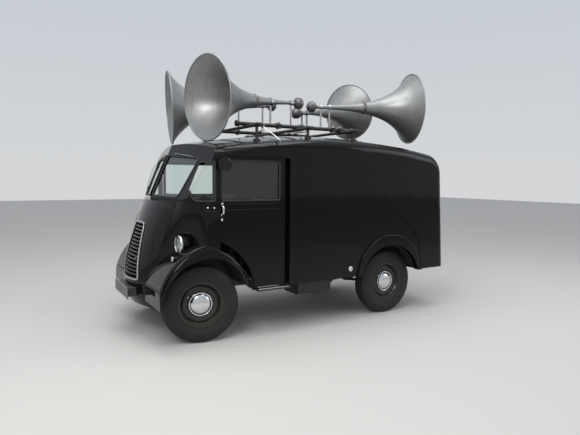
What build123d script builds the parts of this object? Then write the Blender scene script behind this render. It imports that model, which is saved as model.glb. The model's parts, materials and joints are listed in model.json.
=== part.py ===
from build123d import *
import math
import os
from functools import lru_cache

os.makedirs("parts", exist_ok=True)

# A small forward-control delivery van that carries four horn loudspeakers on its roof.
# Millimetres: X forward, Y to the van's left, Z up, origin on the ground under its middle.
# A name that ends in BACK or AHEAD is measured from the front axle along the van.

# Wheels, axles and overall length
WHEELBASE = 2184.0
FRONT_REACH = 570.0
REAR_REACH = 850.0
LENGTH = WHEELBASE + FRONT_REACH + REAR_REACH
FRONT_AXLE_X = LENGTH / 2 - FRONT_REACH
REAR_AXLE_X = FRONT_AXLE_X - WHEELBASE
TRACK = 1340.0
TYRE_R = 355.0
TYRE_W = 160.0
TYRE_WAIST_Z = 74.0
RIM_R = 203.0
RIM_W = 112.0
RIM_FLANGE = 10.0
HUB_CAP_R = 108.0
HUB_CAP_CROWN = 70.0
DRUM_R = 125.0
SPINDLE_R = 19.0
SPINDLE_END = 26.0
KINGPIN_R = 12.0
KINGPIN_INSET = 70.0
KINGPIN_Y = TRACK / 2 - KINGPIN_INSET
KNUCKLE_TOP = TYRE_R + 58
RUN_FIT = 0.05
PARKED_STEER = -10.0

# Body shell
HALF_WIDTH = 870.0
WIDEST_BACK = 500.0
SIDE_BOW_R = 112000.0
FRONT_CORNER_R = 300.0
FRONT_CORNER_BACK = 138.0
CORNER_BACK = 110.0
ROOF_TOP = 1978.0
ROOF_APEX_BACK = 1450.0
ROOF_BOW_R = 7800.0
CROWN_R = 4178.0
CROWN_TURN = 54.0
ROOF_EDGE_R = 100.0
REAR_TOP_R = 240.0
REAR_LOW_BACK = 3015.0
REAR_LOW_Z = 480.0
REAR_HIGH_BACK = 2941.0
REAR_HIGH_Z = 1620.0
REAR_SLOPE = (REAR_LOW_BACK - REAR_HIGH_BACK) / (REAR_HIGH_Z - REAR_LOW_Z)
SILL_Z = 480.0
WALL = 25.0
GAP = 0.3
POLE_R = 3.0

# Rain gutter on the roof's edge, and the swage pressed along each side
GUTTER_TOP = 1822.0
GUTTER_APEX_BACK = 1250.0
GUTTER_BOW_R = 10000.0
GUTTER_OUT = 9.0
GUTTER_H = 11.0
GUTTER_FRONT_BACK = 150.0
GUTTER_REAR_BACK = 2480.0
SWAGE_OUT = 5.0
SWAGE_W = 14.0
SWAGE_Z = 1216.0
SWAGE_MID = ((-1300.0, 1209.0), (-1763.0, 1187.0))
SWAGE_TURN = ((-2262.0, 1105.0), (-2563.0, 797.0))
SWAGE_FOOT = (-2617.0, 488.0)

# Windscreen: two flat panes that meet on the middle line, as (ahead or out, height)
SCREEN_TOP = (86.0, 1744.0)
SCREEN_FOOT = (268.0, 1325.0)
SCREEN_SWEEP = 10.5
SCREEN_RAKE = (SCREEN_FOOT[0] - SCREEN_TOP[0]) / (SCREEN_TOP[1] - SCREEN_FOOT[1])
WAIST_Z = 1240.0
SCUTTLE_Z = 1285.0
PANE_LOW_OUT = (532.0, 1323.0)
PANE_HIGH_OUT = (634.0, 1686.0)
PANE_LOW_IN = (22.0, 1331.0)
PANE_HIGH_IN = (22.0, 1728.0)
GLASS = 6.0
GLASS_INSET = 8.0
WIPER_PIVOT = (175.0, 1737.0)
WIPER_TIP = (470.0, 1706.0)
WIPER_CLEAR = 14.0

# Cab doors, which slide back inside the body sides
DOOR_FRONT_BACK = 112.0
DOOR_REAR_BACK = 760.0
DOOR_POST = 70.0
DOOR_TOP_Z = 1700.0
DOOR_T = 28.0
DOOR_TRAVEL = 620.0
DOOR_CLEAR = 10.0
DOOR_EDGE = 4.0
DOOR_WINDOW_BACK = (135.0, 735.0)
DOOR_WINDOW_Z = (1303.0, 1667.0)
DOOR_BAND_Z = (1216.0, 1275.0)
DOOR_BAND_OUT = 3.0
HANDLE_Z = (1160.0, 1275.0)
HANDLE_OUT = 24.0

# Wings and wheel arches
ARCH_BACK = 8.0
ARCH_Z = 368.0
ARCH_R = 430.0
SWING_R = 398.0
WING_IN_Y = 395.0
WING_OUT_Y = 880.0
WING_SKIN = 14.0
WING_CROWN_R = 60.0
WING_FOOT_Z = 372.0
ARCH_LIP_R = 7.0
REAR_ARCH_BACK = 2125.0
REAR_ARCH_Z = 370.0
REAR_ARCH_R = 420.0
FLARE_BACK = 2120.0
FLARE_Z = 450.0
FLARE_R = 455.0
FLARE_OUT_Y = 886.0
FLARE_EDGE_R = 10.0

# Openings in the cab front and the rear
QUARTER_WINDOW = [(-66.0, 1302.0), (83.0, 1300.0), (108.0, 1338.0), (110.0, 1400.0), (2.0, 1651.0), (-66.0, 1652.0)]
NOSE_PANEL_HALF = 335.0
NOSE_PANEL_TOP = 1160.0
GRILLE_LOW = 278.0
GRILLE_HIGH = 158.0
GRILLE_Z = (530.0, 1085.0)
GRILLE_CORNER_R = 36.0
GRILLE_BAR = 21.0
SLATS = 14
SLAT_H = 12.0
REAR_DOOR_HALF = 590.0
REAR_DOOR_TOP = 1662.0
REAR_PANE_Y = (110.0, 480.0)
REAR_PANE_Z = (1330.0, 1590.0)
HINGE_OUT = 9.0
HINGE_R = 8.0
HINGE_HALF = 45.0
HINGE_Z = (640.0, 1400.0)

# Lamps: ahead, out, height, radius, depth
HEADLAMP = (200.0, 650.0, 908.0, 84.0, 150.0)
SIDE_LAMP = (290.0, 740.0, 796.0, 22.0, 70.0)
REAR_LAMP_OUT = 705.0
REAR_LAMP_Z = 700.0
REAR_LAMP_R = 34.0

# Chassis, floor and what hangs below
RAIL_Y = 330.0
RAIL_W = 55.0
RAIL_Z = 400.0
RAIL_FRONT_AHEAD = 365.0
RAIL_REAR = 760.0
FLOOR_Z = 500.0
FLOOR_T = 28.0
FLOOR_TOP = FLOOR_Z + FLOOR_T
FLOOR_HALF = 785.0
WELL_Y = 383.0
WELL_T = 12.0
BOARD_T = 6.0
BOARD_HALF = 530.0
BOARD_BACK = (900.0, 2860.0)
CROSS_BACK = (-330.0, 700.0, 1400.0, 2484.0, 2914.0)
OUTRIGGER_BACK = (520.0, 835.0, 1100.0, 1450.0, 2704.0)
OUTRIGGER_H = 50.0
BEARER_BACK = (-100.0, 250.0)
ENGINE_BACK = (-190.0, 350.0)
ENGINE_HALF = 130.0
ENGINE_Z = (416.0, 800.0)
GEARBOX_BACK = 430.0
COVER_WALL = 20.0
SPRING_HALF = 340.0
SPRING_EYE_Z = 372.0
SPRING_LOW_Z = 292.0
SPRING_T = 24.0
BEAM_Z = SPRING_LOW_Z + SPRING_T + 1.0
BEAM_H = 46.0
TANK_BACK = (1070.0, 1480.0)
PIPE_Y = -205.0
PIPE_Z = 345.0

# Seats and steering
SEAT_Y = 375.0
SEAT_Z = 820.0
SEAT_BACK = (330.0, 720.0)
SEAT_HALF = 190.0
SEAT_FRAME_T = 20.0
CUSHION_HALF = 200.0
CUSHION_T = 100.0
CUSHION_EDGE_R = 22.0
COLUMN_TOP = (-190.0, -SEAT_Y, 1235.0)
COLUMN_FOOT = (150.0, -SEAT_Y + 40)
STEERING_R = 200.0

# Roof rack and horns
RACK_Y = 450.0
RACK_Z = 2045.0
RACK_TUBE_R = 20.0
RACK_BACK = (465.0, 1860.0)
RACK_BAR_BACK = (560.0, 1140.0, 1720.0)
RACK_BAR_R = 16.0
RACK_BAR_HALF = 768.0
RACK_FOOT_Y = 690.0
THROAT_R = 17.0
BELL_L = 1120.0
BELL_FLARE = 1.25
BELL_T = 6.0
BELL_SEAM = 0.49
LIP_R = 8.0
POT_R = 62.0
POT_L = 130.0
# columns: name, mouth radius, mouth ahead, out and height, heading from +X, nose-up tilt, second clamp
HORNS = [
    ("front_left", 409.0, -158.0, 427.0, 2268.0, 11.0, -3.3, 330.0),
    ("front_right", 408.0, -124.0, -606.0, 2286.0, -13.0, -4.0, 330.0),
    ("rear_left", 403.0, -2638.0, 560.0, 2333.0, 161.7, 0.9, 140.0),
    ("rear_right", 368.0, -2580.0, -530.0, 2408.0, -158.4, 6.6, 140.0),
]


def ahead(distance):
    """Model X of a place a given distance ahead of the front axle."""
    return FRONT_AXLE_X + distance


def side_view(y):
    return lambda x, z: (x, y, z)


def top_view(z):
    return lambda x, y: (x, y, z)


def end_view(x):
    return lambda y, z: (x, y, z)


def outline(place, start, *steps):
    """Closed wire; a step is an end point, or (via, end) for an arc."""
    edges = []
    at = start
    for step in steps:
        if isinstance(step[0], tuple):
            via, end = step
            edges.append(Edge.make_three_point_arc(place(*at), place(*via), place(*end)))
        else:
            end = step
            edges.append(Edge.make_line(place(*at), place(*end)))
        at = end
    if at != start:
        edges.append(Edge.make_line(place(*at), place(*start)))
    return Wire(edges)


def slab(wire, direction, length):
    return extrude(Face(wire), amount=length, dir=direction)


def block(x0, x1, y0, y1, z0, z1):
    """Box between two faces each way; the two Y faces may come in either order."""
    low_y, high_y = sorted((y0, y1))
    centre = Pos((x0 + x1) / 2, (y0 + y1) / 2, (z0 + z1) / 2)
    return centre * Box(x1 - x0, high_y - low_y, z1 - z0)


def rod(start, end, radius):
    base = Vector(*start)
    run = Vector(*end) - base
    plane = Plane(origin=base, z_dir=run)
    return plane * Cylinder(radius, run.length, align=(Align.CENTER, Align.CENTER, Align.MIN))


def across(ahead_x, z, radius, y0, y1):
    """Round bar along Y."""
    return rod((ahead(ahead_x), y0, z), (ahead(ahead_x), y1, z), radius)


def upright(x, y, radius, z0, z1):
    return rod((x, y, z0), (x, y, z1), radius)


def largest(shape):
    return max(shape.solids(), key=lambda solid: solid.volume)


def apart(*shapes):
    """Several solids kept as one node without fusing them."""
    found = []
    for shape in shapes:
        found += shape.solids()
    return Compound(children=found)


def save(name, shape):
    found = shape.solids()
    written = found[0] if len(found) == 1 else Compound(children=list(found))
    export_step(written, f"parts/{name}.step")


# Body shell: a profile revolved for the roof's crown, inside a plan outline
FAR = 3000.0
FORM_LOW_Z = 150.0
FORM_FRONT_AHEAD = 420.0


def roof_z(x, inset=0.0):
    apex = ahead(-ROOF_APEX_BACK)
    return ROOF_TOP - ROOF_BOW_R + math.sqrt((ROOF_BOW_R - inset) ** 2 - (x - apex) ** 2)


def roof_at(x, y):
    return roof_z(x) - CROWN_R + math.sqrt(CROWN_R ** 2 - y ** 2)


def side_y(x, inset=0.0):
    return HALF_WIDTH - inset - (x - ahead(-WIDEST_BACK)) ** 2 / (2 * SIDE_BOW_R)


def rear_x(z, inset=0.0):
    """Rear face of the leaning tail at a height."""
    return ahead(-REAR_LOW_BACK) + REAR_SLOPE * (z - REAR_LOW_Z) + inset


def body_profile(inset):
    """Side view of the roof and tail on the middle line."""
    top_x = ahead(-REAR_HIGH_BACK)
    for _ in range(6):
        top_x = rear_x(roof_z(top_x, inset), inset)
    front_x = ahead(FORM_FRONT_AHEAD)
    top = (top_x, roof_z(top_x, inset))
    face = Face(outline(side_view(0), (front_x, FORM_LOW_Z), (front_x, roof_z(front_x, inset)),
                        ((ahead(-ROOF_APEX_BACK), ROOF_TOP - inset), top), (rear_x(FORM_LOW_Z, inset), FORM_LOW_Z)))
    corner = face.vertices().sort_by_distance((top[0], 0, top[1]))[0]
    return fillet(corner, REAR_TOP_R - inset).faces()[0]


def body_plan(inset):
    """Plan outline: bowed sides, round front corners and a nose swept like the screen."""
    corner_x = ahead(-FRONT_CORNER_BACK)
    corner_y = side_y(corner_x, inset)
    r = FRONT_CORNER_R - inset
    turn = math.radians(90 - SCREEN_SWEEP)
    mid, end = [(corner_x + r * math.sin(a), corner_y - r * (1 - math.cos(a))) for a in (turn / 2, turn)]
    tip = (end[0] + end[1] * math.tan(math.radians(SCREEN_SWEEP)), 0)
    middle_x, tail_x = ahead(-1500), ahead(-3100)
    middle, tail = [(x, side_y(x, inset)) for x in (middle_x, tail_x)]
    side = (corner_x, corner_y)
    return outline(top_view(FORM_LOW_Z), end, (mid, side), (middle, tail), (tail[0], -tail[1]),
                   ((middle[0], -middle[1]), (side[0], -side[1])), ((mid[0], -mid[1]), (end[0], -end[1])), tip)


@lru_cache
def body_form(inset):
    """The van's closed outer form, moved in by inset, before it is hollowed and cut."""
    centre = Axis((0, 0, ROOF_TOP - CROWN_R), (1, 0, 0))
    crowned = revolve(body_profile(inset), axis=centre, revolution_arc=CROWN_TURN)
    crowned = crowned.rotate(centre, -CROWN_TURN / 2)
    form = (crowned & slab(body_plan(inset), (0, 0, 1), FAR)).solids()[0]
    rim = []
    for edge in form.edges():
        middle = edge.position_at(0.5)
        size = edge.bounding_box().size
        on_roof = middle.Z > 1650 and size.Y < 250
        at_tail = middle.X < ahead(-2800) and 300 < size.Z < 1500 and size.Y < 250
        if abs(middle.Y) > 600 and middle.X < ahead(150) and (on_roof or at_tail):
            rim.append(edge)
    return fillet(rim, ROOF_EDGE_R - inset).solids()[0]


def screen_x(y, z, inset=0.0):
    """Model X of the screen plane on the side where y is taken as positive."""
    return ahead(SCREEN_FOOT[0]) - SCREEN_RAKE * (z - SCREEN_FOOT[1]) - math.tan(math.radians(SCREEN_SWEEP)) * y - inset


def screen_cut(inset):
    """Everything in front of the two raked screen planes, moved back by inset."""
    halves = []
    for hand in (1, -1):
        wires = []
        for z in (1190.0, 2100.0):
            points = [(screen_x(0, z, inset), 0), (screen_x(1000, z, inset), 1000 * hand),
                      (ahead(900), 1000 * hand), (ahead(900), 0)]
            wires.append(outline(top_view(z), *points))
        halves.append(Solid.make_loft(wires, ruled=True))
    return halves[0] + halves[1]


# Cab front below the screen, one row per level. Columns: height, nose ahead,
# ridge ahead, ridge out, cheek middle ahead, cheek middle out, side ahead, side out
CAB_LEVELS = [
    (300.0, 470.0, 366.0, 446.0, 150.0, 610.0, 40.0, 866.0),
    (560.0, 513.0, 352.0, 456.0, 135.0, 612.0, 30.0, 866.0),
    (820.0, 453.0, 322.0, 490.0, 122.0, 640.0, 20.0, 866.0),
    (1080.0, 372.0, 255.0, 525.0, 135.0, 712.0, 5.0, 864.0),
    (SCUTTLE_Z, 284.0, 178.0, 560.0, 102.0, 750.0, -40.0, 852.0),
]


def cab_level(row, inset):
    z, nose, ridge_x, ridge_y, cheek_x, cheek_y, side_x, side_out = row
    if z == SCUTTLE_Z:
        z = z - inset
    nose, ridge_x, side_x = ahead(nose) - inset, ahead(ridge_x) - inset, ahead(side_x) - inset
    ridge_y, side_out = ridge_y - inset * 0.8, side_out - inset
    cheek = (ahead(cheek_x) - inset * 0.7, cheek_y - inset * 0.8)
    back = (ahead(-CORNER_BACK - 40), HALF_WIDTH - 2 - inset)
    return outline(top_view(z), (ridge_x, -ridge_y), ((nose, 0), (ridge_x, ridge_y)),
                   (cheek, (side_x, side_out)), back, (back[0], -back[1]), (side_x, -side_out),
                   ((cheek[0], -cheek[1]), (ridge_x, -ridge_y)))


@lru_cache
def cab_form(inset):
    return Solid.make_loft([cab_level(row, inset) for row in CAB_LEVELS], ruled=False)


def gutter_line(z_shift):
    """Everything above the bowed gutter line."""
    apex = ahead(-GUTTER_APEX_BACK)
    tail_x, front_x = -2200.0, 2400.0
    heights = [GUTTER_TOP + z_shift - (x - apex) ** 2 / (2 * GUTTER_BOW_R) for x in (tail_x, apex, front_x)]
    wire = outline(side_view(-1300), (tail_x, heights[0]), ((apex, heights[1]), (front_x, heights[2])),
                   (front_x, 2400), (tail_x, 2400))
    return slab(wire, (0, 1, 0), 2600)


def tail_zone(y0, y1, z0, z1):
    return block(-FAR, ahead(-2700), y0, y1, z0, z1)


def front_wheel_space(hand):
    """Room for a front tyre: the arch, narrowed inwards to what the steered tyre sweeps."""
    drum = across(-ARCH_BACK, ARCH_Z, ARCH_R, 385 * hand, 1200 * hand)
    swing = upright(ahead(0), KINGPIN_Y * hand, SWING_R, -100, 1000)
    outside = block(ahead(-600), ahead(600), KINGPIN_Y * hand, 1200 * hand, -100, 1000)
    return drum & (swing + outside)


body_outer = body_form(0)
body_inner = body_form(WALL)
shell = body_outer - body_inner
upper_outer = body_outer - screen_cut(0)
upper_inner = body_inner - screen_cut(WALL)
above_gutter = gutter_line(0)

# Roof panel with the header over the screen, and the rain gutter on its lower edge
roof_panel = (upper_outer - upper_inner) & above_gutter
gutter = (body_form(-GUTTER_OUT) - body_outer) & (above_gutter - gutter_line(GUTTER_H))
for hand in (1, -1):
    zone = block(ahead(-GUTTER_REAR_BACK), ahead(-GUTTER_FRONT_BACK), 700 * hand, 1000 * hand, 1600, 1900)
    roof_panel = roof_panel + (gutter & zone)
save("roof_panel", roof_panel)

# Body sides, from the front door pillar to the rear door opening


def beside(path, offset_by):
    """Points of a side-view path moved square to it by a distance."""
    moved = []
    for i, (x, z) in enumerate(path):
        before, after = path[max(i - 1, 0)], path[min(i + 1, len(path) - 1)]
        run, rise = after[0] - before[0], after[1] - before[1]
        reach = math.hypot(run, rise)
        moved.append((ahead(x - rise / reach * offset_by), z + run / reach * offset_by))
    return moved


def swage():
    """Raised bead that runs back from the door and turns down behind the rear wheel."""
    path = [(-DOOR_REAR_BACK - DOOR_POST - 2, SWAGE_Z), *SWAGE_MID, *SWAGE_TURN, SWAGE_FOOT]
    a, b = beside(path, SWAGE_W / 2), beside(path, -SWAGE_W / 2)
    band = outline(side_view(-1200), a[0], (a[1], a[2]), (a[3], a[4]), a[5], b[5], b[4], (b[3], b[2]), (b[1], b[0]))
    return (body_form(-SWAGE_OUT) - body_outer) & slab(band, (0, 1, 0), 2400)


def rear_flare(hand):
    """Lip that stands out round the rear wheel opening."""
    inner_y = side_y(ahead(-FLARE_BACK)) - WALL / 2
    lip = across(-FLARE_BACK, FLARE_Z, FLARE_R, inner_y * hand, FLARE_OUT_Y * hand)
    rim = [e for e in lip.edges().filter_by(GeomType.CIRCLE) if abs(e.center().Y * hand - FLARE_OUT_Y) < 1]
    lip = fillet(rim, FLARE_EDGE_R)
    return lip & block(-FAR, FAR, 700 * hand, 1000 * hand, SILL_Z, 1200)


def rear_hinge(hand, z, on_door):
    """One half of a rear door hinge: a barrel on the leaning hinge line and its leaf."""
    y = (REAR_DOOR_HALF + 2) * hand
    z0, z1 = (z + GAP, z + HINGE_HALF) if on_door else (z - HINGE_HALF, z)
    barrel = rod((rear_x(z0) - HINGE_OUT, y, z0), (rear_x(z1) - HINGE_OUT, y, z1), HINGE_R)
    skin_x = rear_x((z0 + z1) / 2)
    wing_y = y - 34 * hand if on_door else y + 30 * hand
    edge_y = (REAR_DOOR_HALF - DOOR_EDGE - 1) * hand if on_door else y
    strap = block(skin_x - HINGE_OUT - 2, skin_x - 3, y, wing_y, z0 + 2, z1 - 2)
    return barrel + strap + block(skin_x - HINGE_OUT - 2, skin_x + 6, edge_y, wing_y, z0 + 2, z1 - 2)


swages = swage()
rear_hole = tail_zone(-REAR_DOOR_HALF, REAR_DOOR_HALF, SILL_Z - 50, REAR_DOOR_TOP)
door_face_y = side_y(ahead(-400)) - WALL - DOOR_CLEAR
for hand, name in ((1, "left"), (-1, "right")):
    near, far = 500 * hand, 1200 * hand
    side = shell & block(-FAR, ahead(-CORNER_BACK), near, far, SILL_Z, 2000)
    side = side - above_gutter - rear_hole
    side = side - block(ahead(-DOOR_REAR_BACK - DOOR_POST), ahead(0), near, far, SILL_Z - 10, DOOR_TOP_Z)
    side = side + rear_flare(hand)
    side = side - across(-REAR_ARCH_BACK, REAR_ARCH_Z, REAR_ARCH_R, near, far)
    side = side + (swages & block(-FAR, FAR, near, far, SILL_Z, 2000))
    runner_y = (door_face_y - DOOR_T - 6) * hand
    runner_end = ahead(-DOOR_REAR_BACK - DOOR_TRAVEL - 110)
    side = side + block(runner_end, ahead(-CORNER_BACK - 1), runner_y, 840 * hand, DOOR_TOP_Z + 2, DOOR_TOP_Z + 12)
    for z in HINGE_Z:
        side = side + rear_hinge(hand, z, False)
    save(f"side_panel_{name}", side)

# Cab front: pillars, screen frame, cheeks and the sides of the nose


def pane_outline(hand, inset):
    """The glass opening of one half of the screen, seen from in front."""
    corners = [(PANE_LOW_IN, 1, 1), (PANE_LOW_OUT, -1, 1), (PANE_HIGH_OUT, -1, -1), (PANE_HIGH_IN, 1, -1)]
    points = [(hand * (y + side * inset), z + rise * inset) for (y, z), side, rise in corners]
    return outline(end_view(ahead(-300)), *points)


def quarter_window():
    return outline(side_view(0), *[(ahead(x), z) for x, z in QUARTER_WINDOW])


raised = block(-FAR, FAR, -1200, 1200, WAIST_Z, 2300)
cab_zone = block(ahead(-CORNER_BACK), FAR, -1200, 1200, 0, 2300)
inner_zone = block(ahead(-CORNER_BACK - 50), FAR, -1200, 1200, 0, 2300)
cab = (cab_form(0) + (upper_outer & raised & cab_zone)) - (cab_form(WALL) + (upper_inner & raised & inner_zone))
cab = (cab & cab_zone) - above_gutter
for hand in (1, -1):
    cab = cab - front_wheel_space(hand)
    cab = cab - block(ahead(-CORNER_BACK - 10), ahead(366), 462 * hand, 1200 * hand, 0, SILL_Z)
    cab = cab - slab(quarter_window(), (0, hand, 0), 1200)
    cab = cab - slab(pane_outline(hand, 0), (1, 0, 0), 900)

# Nose panel: the removable centre of the nose, with the grille opening


def grille_half(z):
    share = (z - GRILLE_Z[0]) / (GRILLE_Z[1] - GRILLE_Z[0])
    return GRILLE_LOW + (GRILLE_HIGH - GRILLE_LOW) * share


def grille_plug(inset):
    """A prism of the grille's round-cornered outline, moved in by inset."""
    low, high = GRILLE_Z[0] + inset, GRILLE_Z[1] - inset
    wide, narrow = grille_half(low) - inset, grille_half(high) - inset
    face = Face(outline(end_view(ahead(250)), (-wide, low), (wide, low), (narrow, high), (-narrow, high)))
    rounded = fillet(face.vertices(), GRILLE_CORNER_R - inset)
    return extrude(rounded.faces()[0], amount=400, dir=(1, 0, 0))


nose_zone = block(ahead(200), ahead(700), -NOSE_PANEL_HALF, NOSE_PANEL_HALF, 310, NOSE_PANEL_TOP)
save("cab_front", cab - nose_zone)
save("nose_panel", (cab & nose_zone) - grille_plug(0))

# Grille: slats between bright side bars, seated in the nose panel
ring = grille_plug(1) - grille_plug(GRILLE_BAR)
grille = (cab_form(-8) - cab_form(WALL)) & ring
slat_skin = cab_form(2) - cab_form(20)
pitch = (GRILLE_Z[1] - GRILLE_Z[0] - 2 * GRILLE_BAR) / (SLATS + 1)
for i in range(SLATS):
    z = GRILLE_Z[0] + GRILLE_BAR + pitch * (i + 1)
    half = grille_half(z) - GRILLE_BAR + 6
    grille = grille + (slat_skin & block(ahead(250), ahead(700), -half, half, z - SLAT_H / 2, z + SLAT_H / 2))
save("grille", grille)

# Front wings: pressed skins over the wheel space, with a rolled lip round the opening


def wing_outline(y, inset):
    i = inset
    foot = SILL_Z - 10
    return outline(side_view(y), (ahead(-455 + i), foot),
                   ((ahead(-300 + i * 0.7), 755 - i * 0.7), (ahead(0), 925 - i)),
                   ((ahead(268 - i * 0.7), 790 - i * 0.7), (ahead(436 - i), 520)),
                   (ahead(440 - i), WING_FOOT_Z), (ahead(300), WING_FOOT_Z), (ahead(300), foot))


def wing_solid(hand, inner_y, outer_y, inset):
    return slab(wing_outline(inner_y * hand, inset), (0, hand, 0), outer_y - inner_y)


def arch_lip(hand):
    """Rolled edge of the wheel opening, as round bar."""
    y = WING_OUT_Y - ARCH_LIP_R + 1
    opening = Plane(origin=(ahead(-ARCH_BACK), y * hand, ARCH_Z), z_dir=(0, 1, 0))
    return (opening * Torus(ARCH_R + ARCH_LIP_R + 1, ARCH_LIP_R)) & wing_solid(hand, WING_IN_Y, WING_OUT_Y + 20, 0)


def front_wing(hand):
    outer = wing_solid(hand, WING_IN_Y, WING_OUT_Y, 0)
    arcs = outer.edges().filter_by(GeomType.CIRCLE)
    outer = fillet([e for e in arcs if abs(e.position_at(0.5).Y * hand - WING_OUT_Y) < 1], WING_CROWN_R)
    skin = outer - wing_solid(hand, WING_IN_Y - 10, WING_OUT_Y - WING_SKIN, WING_SKIN)
    skin = skin - across(-ARCH_BACK, ARCH_Z, ARCH_R, 385 * hand, 1200 * hand)
    skin = skin + arch_lip(hand) - cab_form(-GAP)
    return largest(skin - (body_outer & block(-FAR, ahead(-100), -1200, 1200, 0, 2000)))


for hand, name in ((1, "left"), (-1, "right")):
    save(f"front_wing_{name}", front_wing(hand))

# Cab doors: leaf with its window, waist band and pull handle, hung from runners in the side


def cab_door(hand):
    inner_y = door_face_y - DOOR_T
    front, back = ahead(-DOOR_FRONT_BACK), ahead(-DOOR_REAR_BACK)
    foot, top = SILL_Z + DOOR_EDGE, DOOR_TOP_Z - 2
    edge = outline(side_view(inner_y * hand), (front, top), (front, 935), ((ahead(-330), 790), (ahead(-470), foot)),
                   (back, foot), (back, top))
    leaf = slab(edge, (0, hand, 0), DOOR_T)
    leaf = leaf + block(back - 100, back + 20, inner_y * hand, (inner_y + 12) * hand, foot, top)
    leaf = leaf + block(back, front, (door_face_y - 1) * hand, (door_face_y + DOOR_BAND_OUT) * hand, *DOOR_BAND_Z)
    for x in (front - 90, back + 40):
        leaf = leaf + upright(x, (door_face_y - DOOR_T / 2) * hand, 9, top - 8, DOOR_TOP_Z + 2 - GAP)
    window_x = [ahead(-b) for b in reversed(DOOR_WINDOW_BACK)]
    leaf = leaf - block(*window_x, (inner_y - 40) * hand, (door_face_y + 40) * hand, *DOOR_WINDOW_Z)
    handle_x = (front + window_x[1]) / 2 - 18
    grip_y = (door_face_y + HANDLE_OUT) * hand
    grip = upright(handle_x, grip_y, 8, *HANDLE_Z)
    for z in (HANDLE_Z[0] + 10, HANDLE_Z[1] - 10):
        grip = grip + rod((handle_x, (door_face_y - 6) * hand, z), (handle_x, grip_y, z), 7)
    pane_y = (door_face_y - DOOR_T / 2) * hand
    pane = block(window_x[0] + GAP, window_x[1] - GAP, pane_y - GLASS / 2, pane_y + GLASS / 2,
                 DOOR_WINDOW_Z[0] + GAP, DOOR_WINDOW_Z[1] - GAP)
    return leaf + grip, pane


for hand, name in ((1, "left"), (-1, "right")):
    leaf, pane = cab_door(hand)
    save(f"door_{name}", leaf)
    save(f"door_glass_{name}", pane)

# Rear doors, cut from the tail, each with a small window
rear_ring = shell & tail_zone(-REAR_DOOR_HALF + DOOR_EDGE, REAR_DOOR_HALF - DOOR_EDGE,
                              SILL_Z + 40, REAR_DOOR_TOP - DOOR_EDGE)
rear_pane = body_form(GLASS_INSET) - body_form(GLASS_INSET + GLASS)
for hand, name in ((1, "left"), (-1, "right")):
    leaf = rear_ring & tail_zone(hand * 2.5, hand * 700, 0, 2000)
    leaf = leaf - tail_zone(hand * REAR_PANE_Y[0], hand * REAR_PANE_Y[1], *REAR_PANE_Z)
    for z in HINGE_Z:
        leaf = leaf + rear_hinge(hand, z, True)
    save(f"rear_door_{name}", leaf)
    pane = rear_pane & tail_zone(hand * (REAR_PANE_Y[0] + GAP), hand * (REAR_PANE_Y[1] - GAP),
                                 REAR_PANE_Z[0] + GAP, REAR_PANE_Z[1] - GAP)
    save(f"rear_glass_{name}", pane)

# Screen panes, quarter windows and the two wipers
screen_sheet = (body_outer - screen_cut(GLASS_INSET)) - (body_outer - screen_cut(GLASS_INSET + GLASS))
panes = [screen_sheet & slab(pane_outline(hand, GAP + 0.2), (1, 0, 0), 900) for hand in (1, -1)]
save("windscreen_glass", apart(*panes))
quarter_light = offset(Face(quarter_window()), -GAP).faces()[0]
quarters = [rear_pane & extrude(quarter_light, amount=1200, dir=(0, hand, 0)) for hand in (1, -1)]
save("quarter_glass", apart(*quarters))

wipers = []
sweep, rake = math.radians(SCREEN_SWEEP), math.atan(SCREEN_RAKE)
for hand in (1, -1):
    outward = Vector(math.cos(sweep) * math.cos(rake), hand * math.sin(sweep) * math.cos(rake), math.sin(rake))
    ends = [Vector(screen_x(y, z), y * hand, z) for y, z in (WIPER_PIVOT, WIPER_TIP)]
    pivot, tip = [end + outward * WIPER_CLEAR for end in ends]
    blade = (tip - pivot) * 0.45
    rubber = [pivot + blade - outward * 7, tip + blade * 0.35 - outward * 7]
    wiper = rod(tuple(ends[0] + outward * GAP), tuple(pivot), 9)
    wiper = wiper + rod(tuple(pivot), tuple(tip), 3.5) + rod(*[tuple(p) for p in rubber], 4)
    wipers.append(wiper + rod(tuple(tip), tuple(tip - outward * 7), 3.5))
save("wipers", apart(*wipers))

# Lamps: a bowl, a rolled rim and a domed lens, seated on the wing and the cheek


def lamp(size, hand):
    x, y, z, radius, depth = size
    rim_back, crown = -radius * 0.15, radius * 0.25
    profile = outline(side_view(0), (-depth, 0), (-depth, POLE_R), ((-depth * 0.6, radius * 0.8), (rim_back, radius)),
                      (rim_back, radius * 1.04), ((0, radius * 1.1), (radius * 0.1, radius)),
                      ((radius * 0.2, radius * 0.55), (crown, POLE_R)), (crown, 0))
    form = Pos(ahead(x), y * hand, z) * revolve(Face(profile), axis=Axis.X)
    seat = wing_solid(hand, WING_IN_Y - 10, WING_OUT_Y + 5, -GAP)
    return largest(form - cab_form(-GAP) - seat)


save("headlamps", apart(lamp(HEADLAMP, 1), lamp(HEADLAMP, -1)))
save("side_lamps", apart(lamp(SIDE_LAMP, 1), lamp(SIDE_LAMP, -1)))
body_seat = body_form(-GAP)
rear_lamps = []
for hand in (1, -1):
    y = REAR_LAMP_OUT * hand
    body = rod((-LENGTH / 2 + 10, y, REAR_LAMP_Z), (-LENGTH / 2 + 60, y, REAR_LAMP_Z), REAR_LAMP_R)
    rear_lamps.append(largest(body - body_seat))
save("rear_lamps", apart(*rear_lamps))

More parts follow.
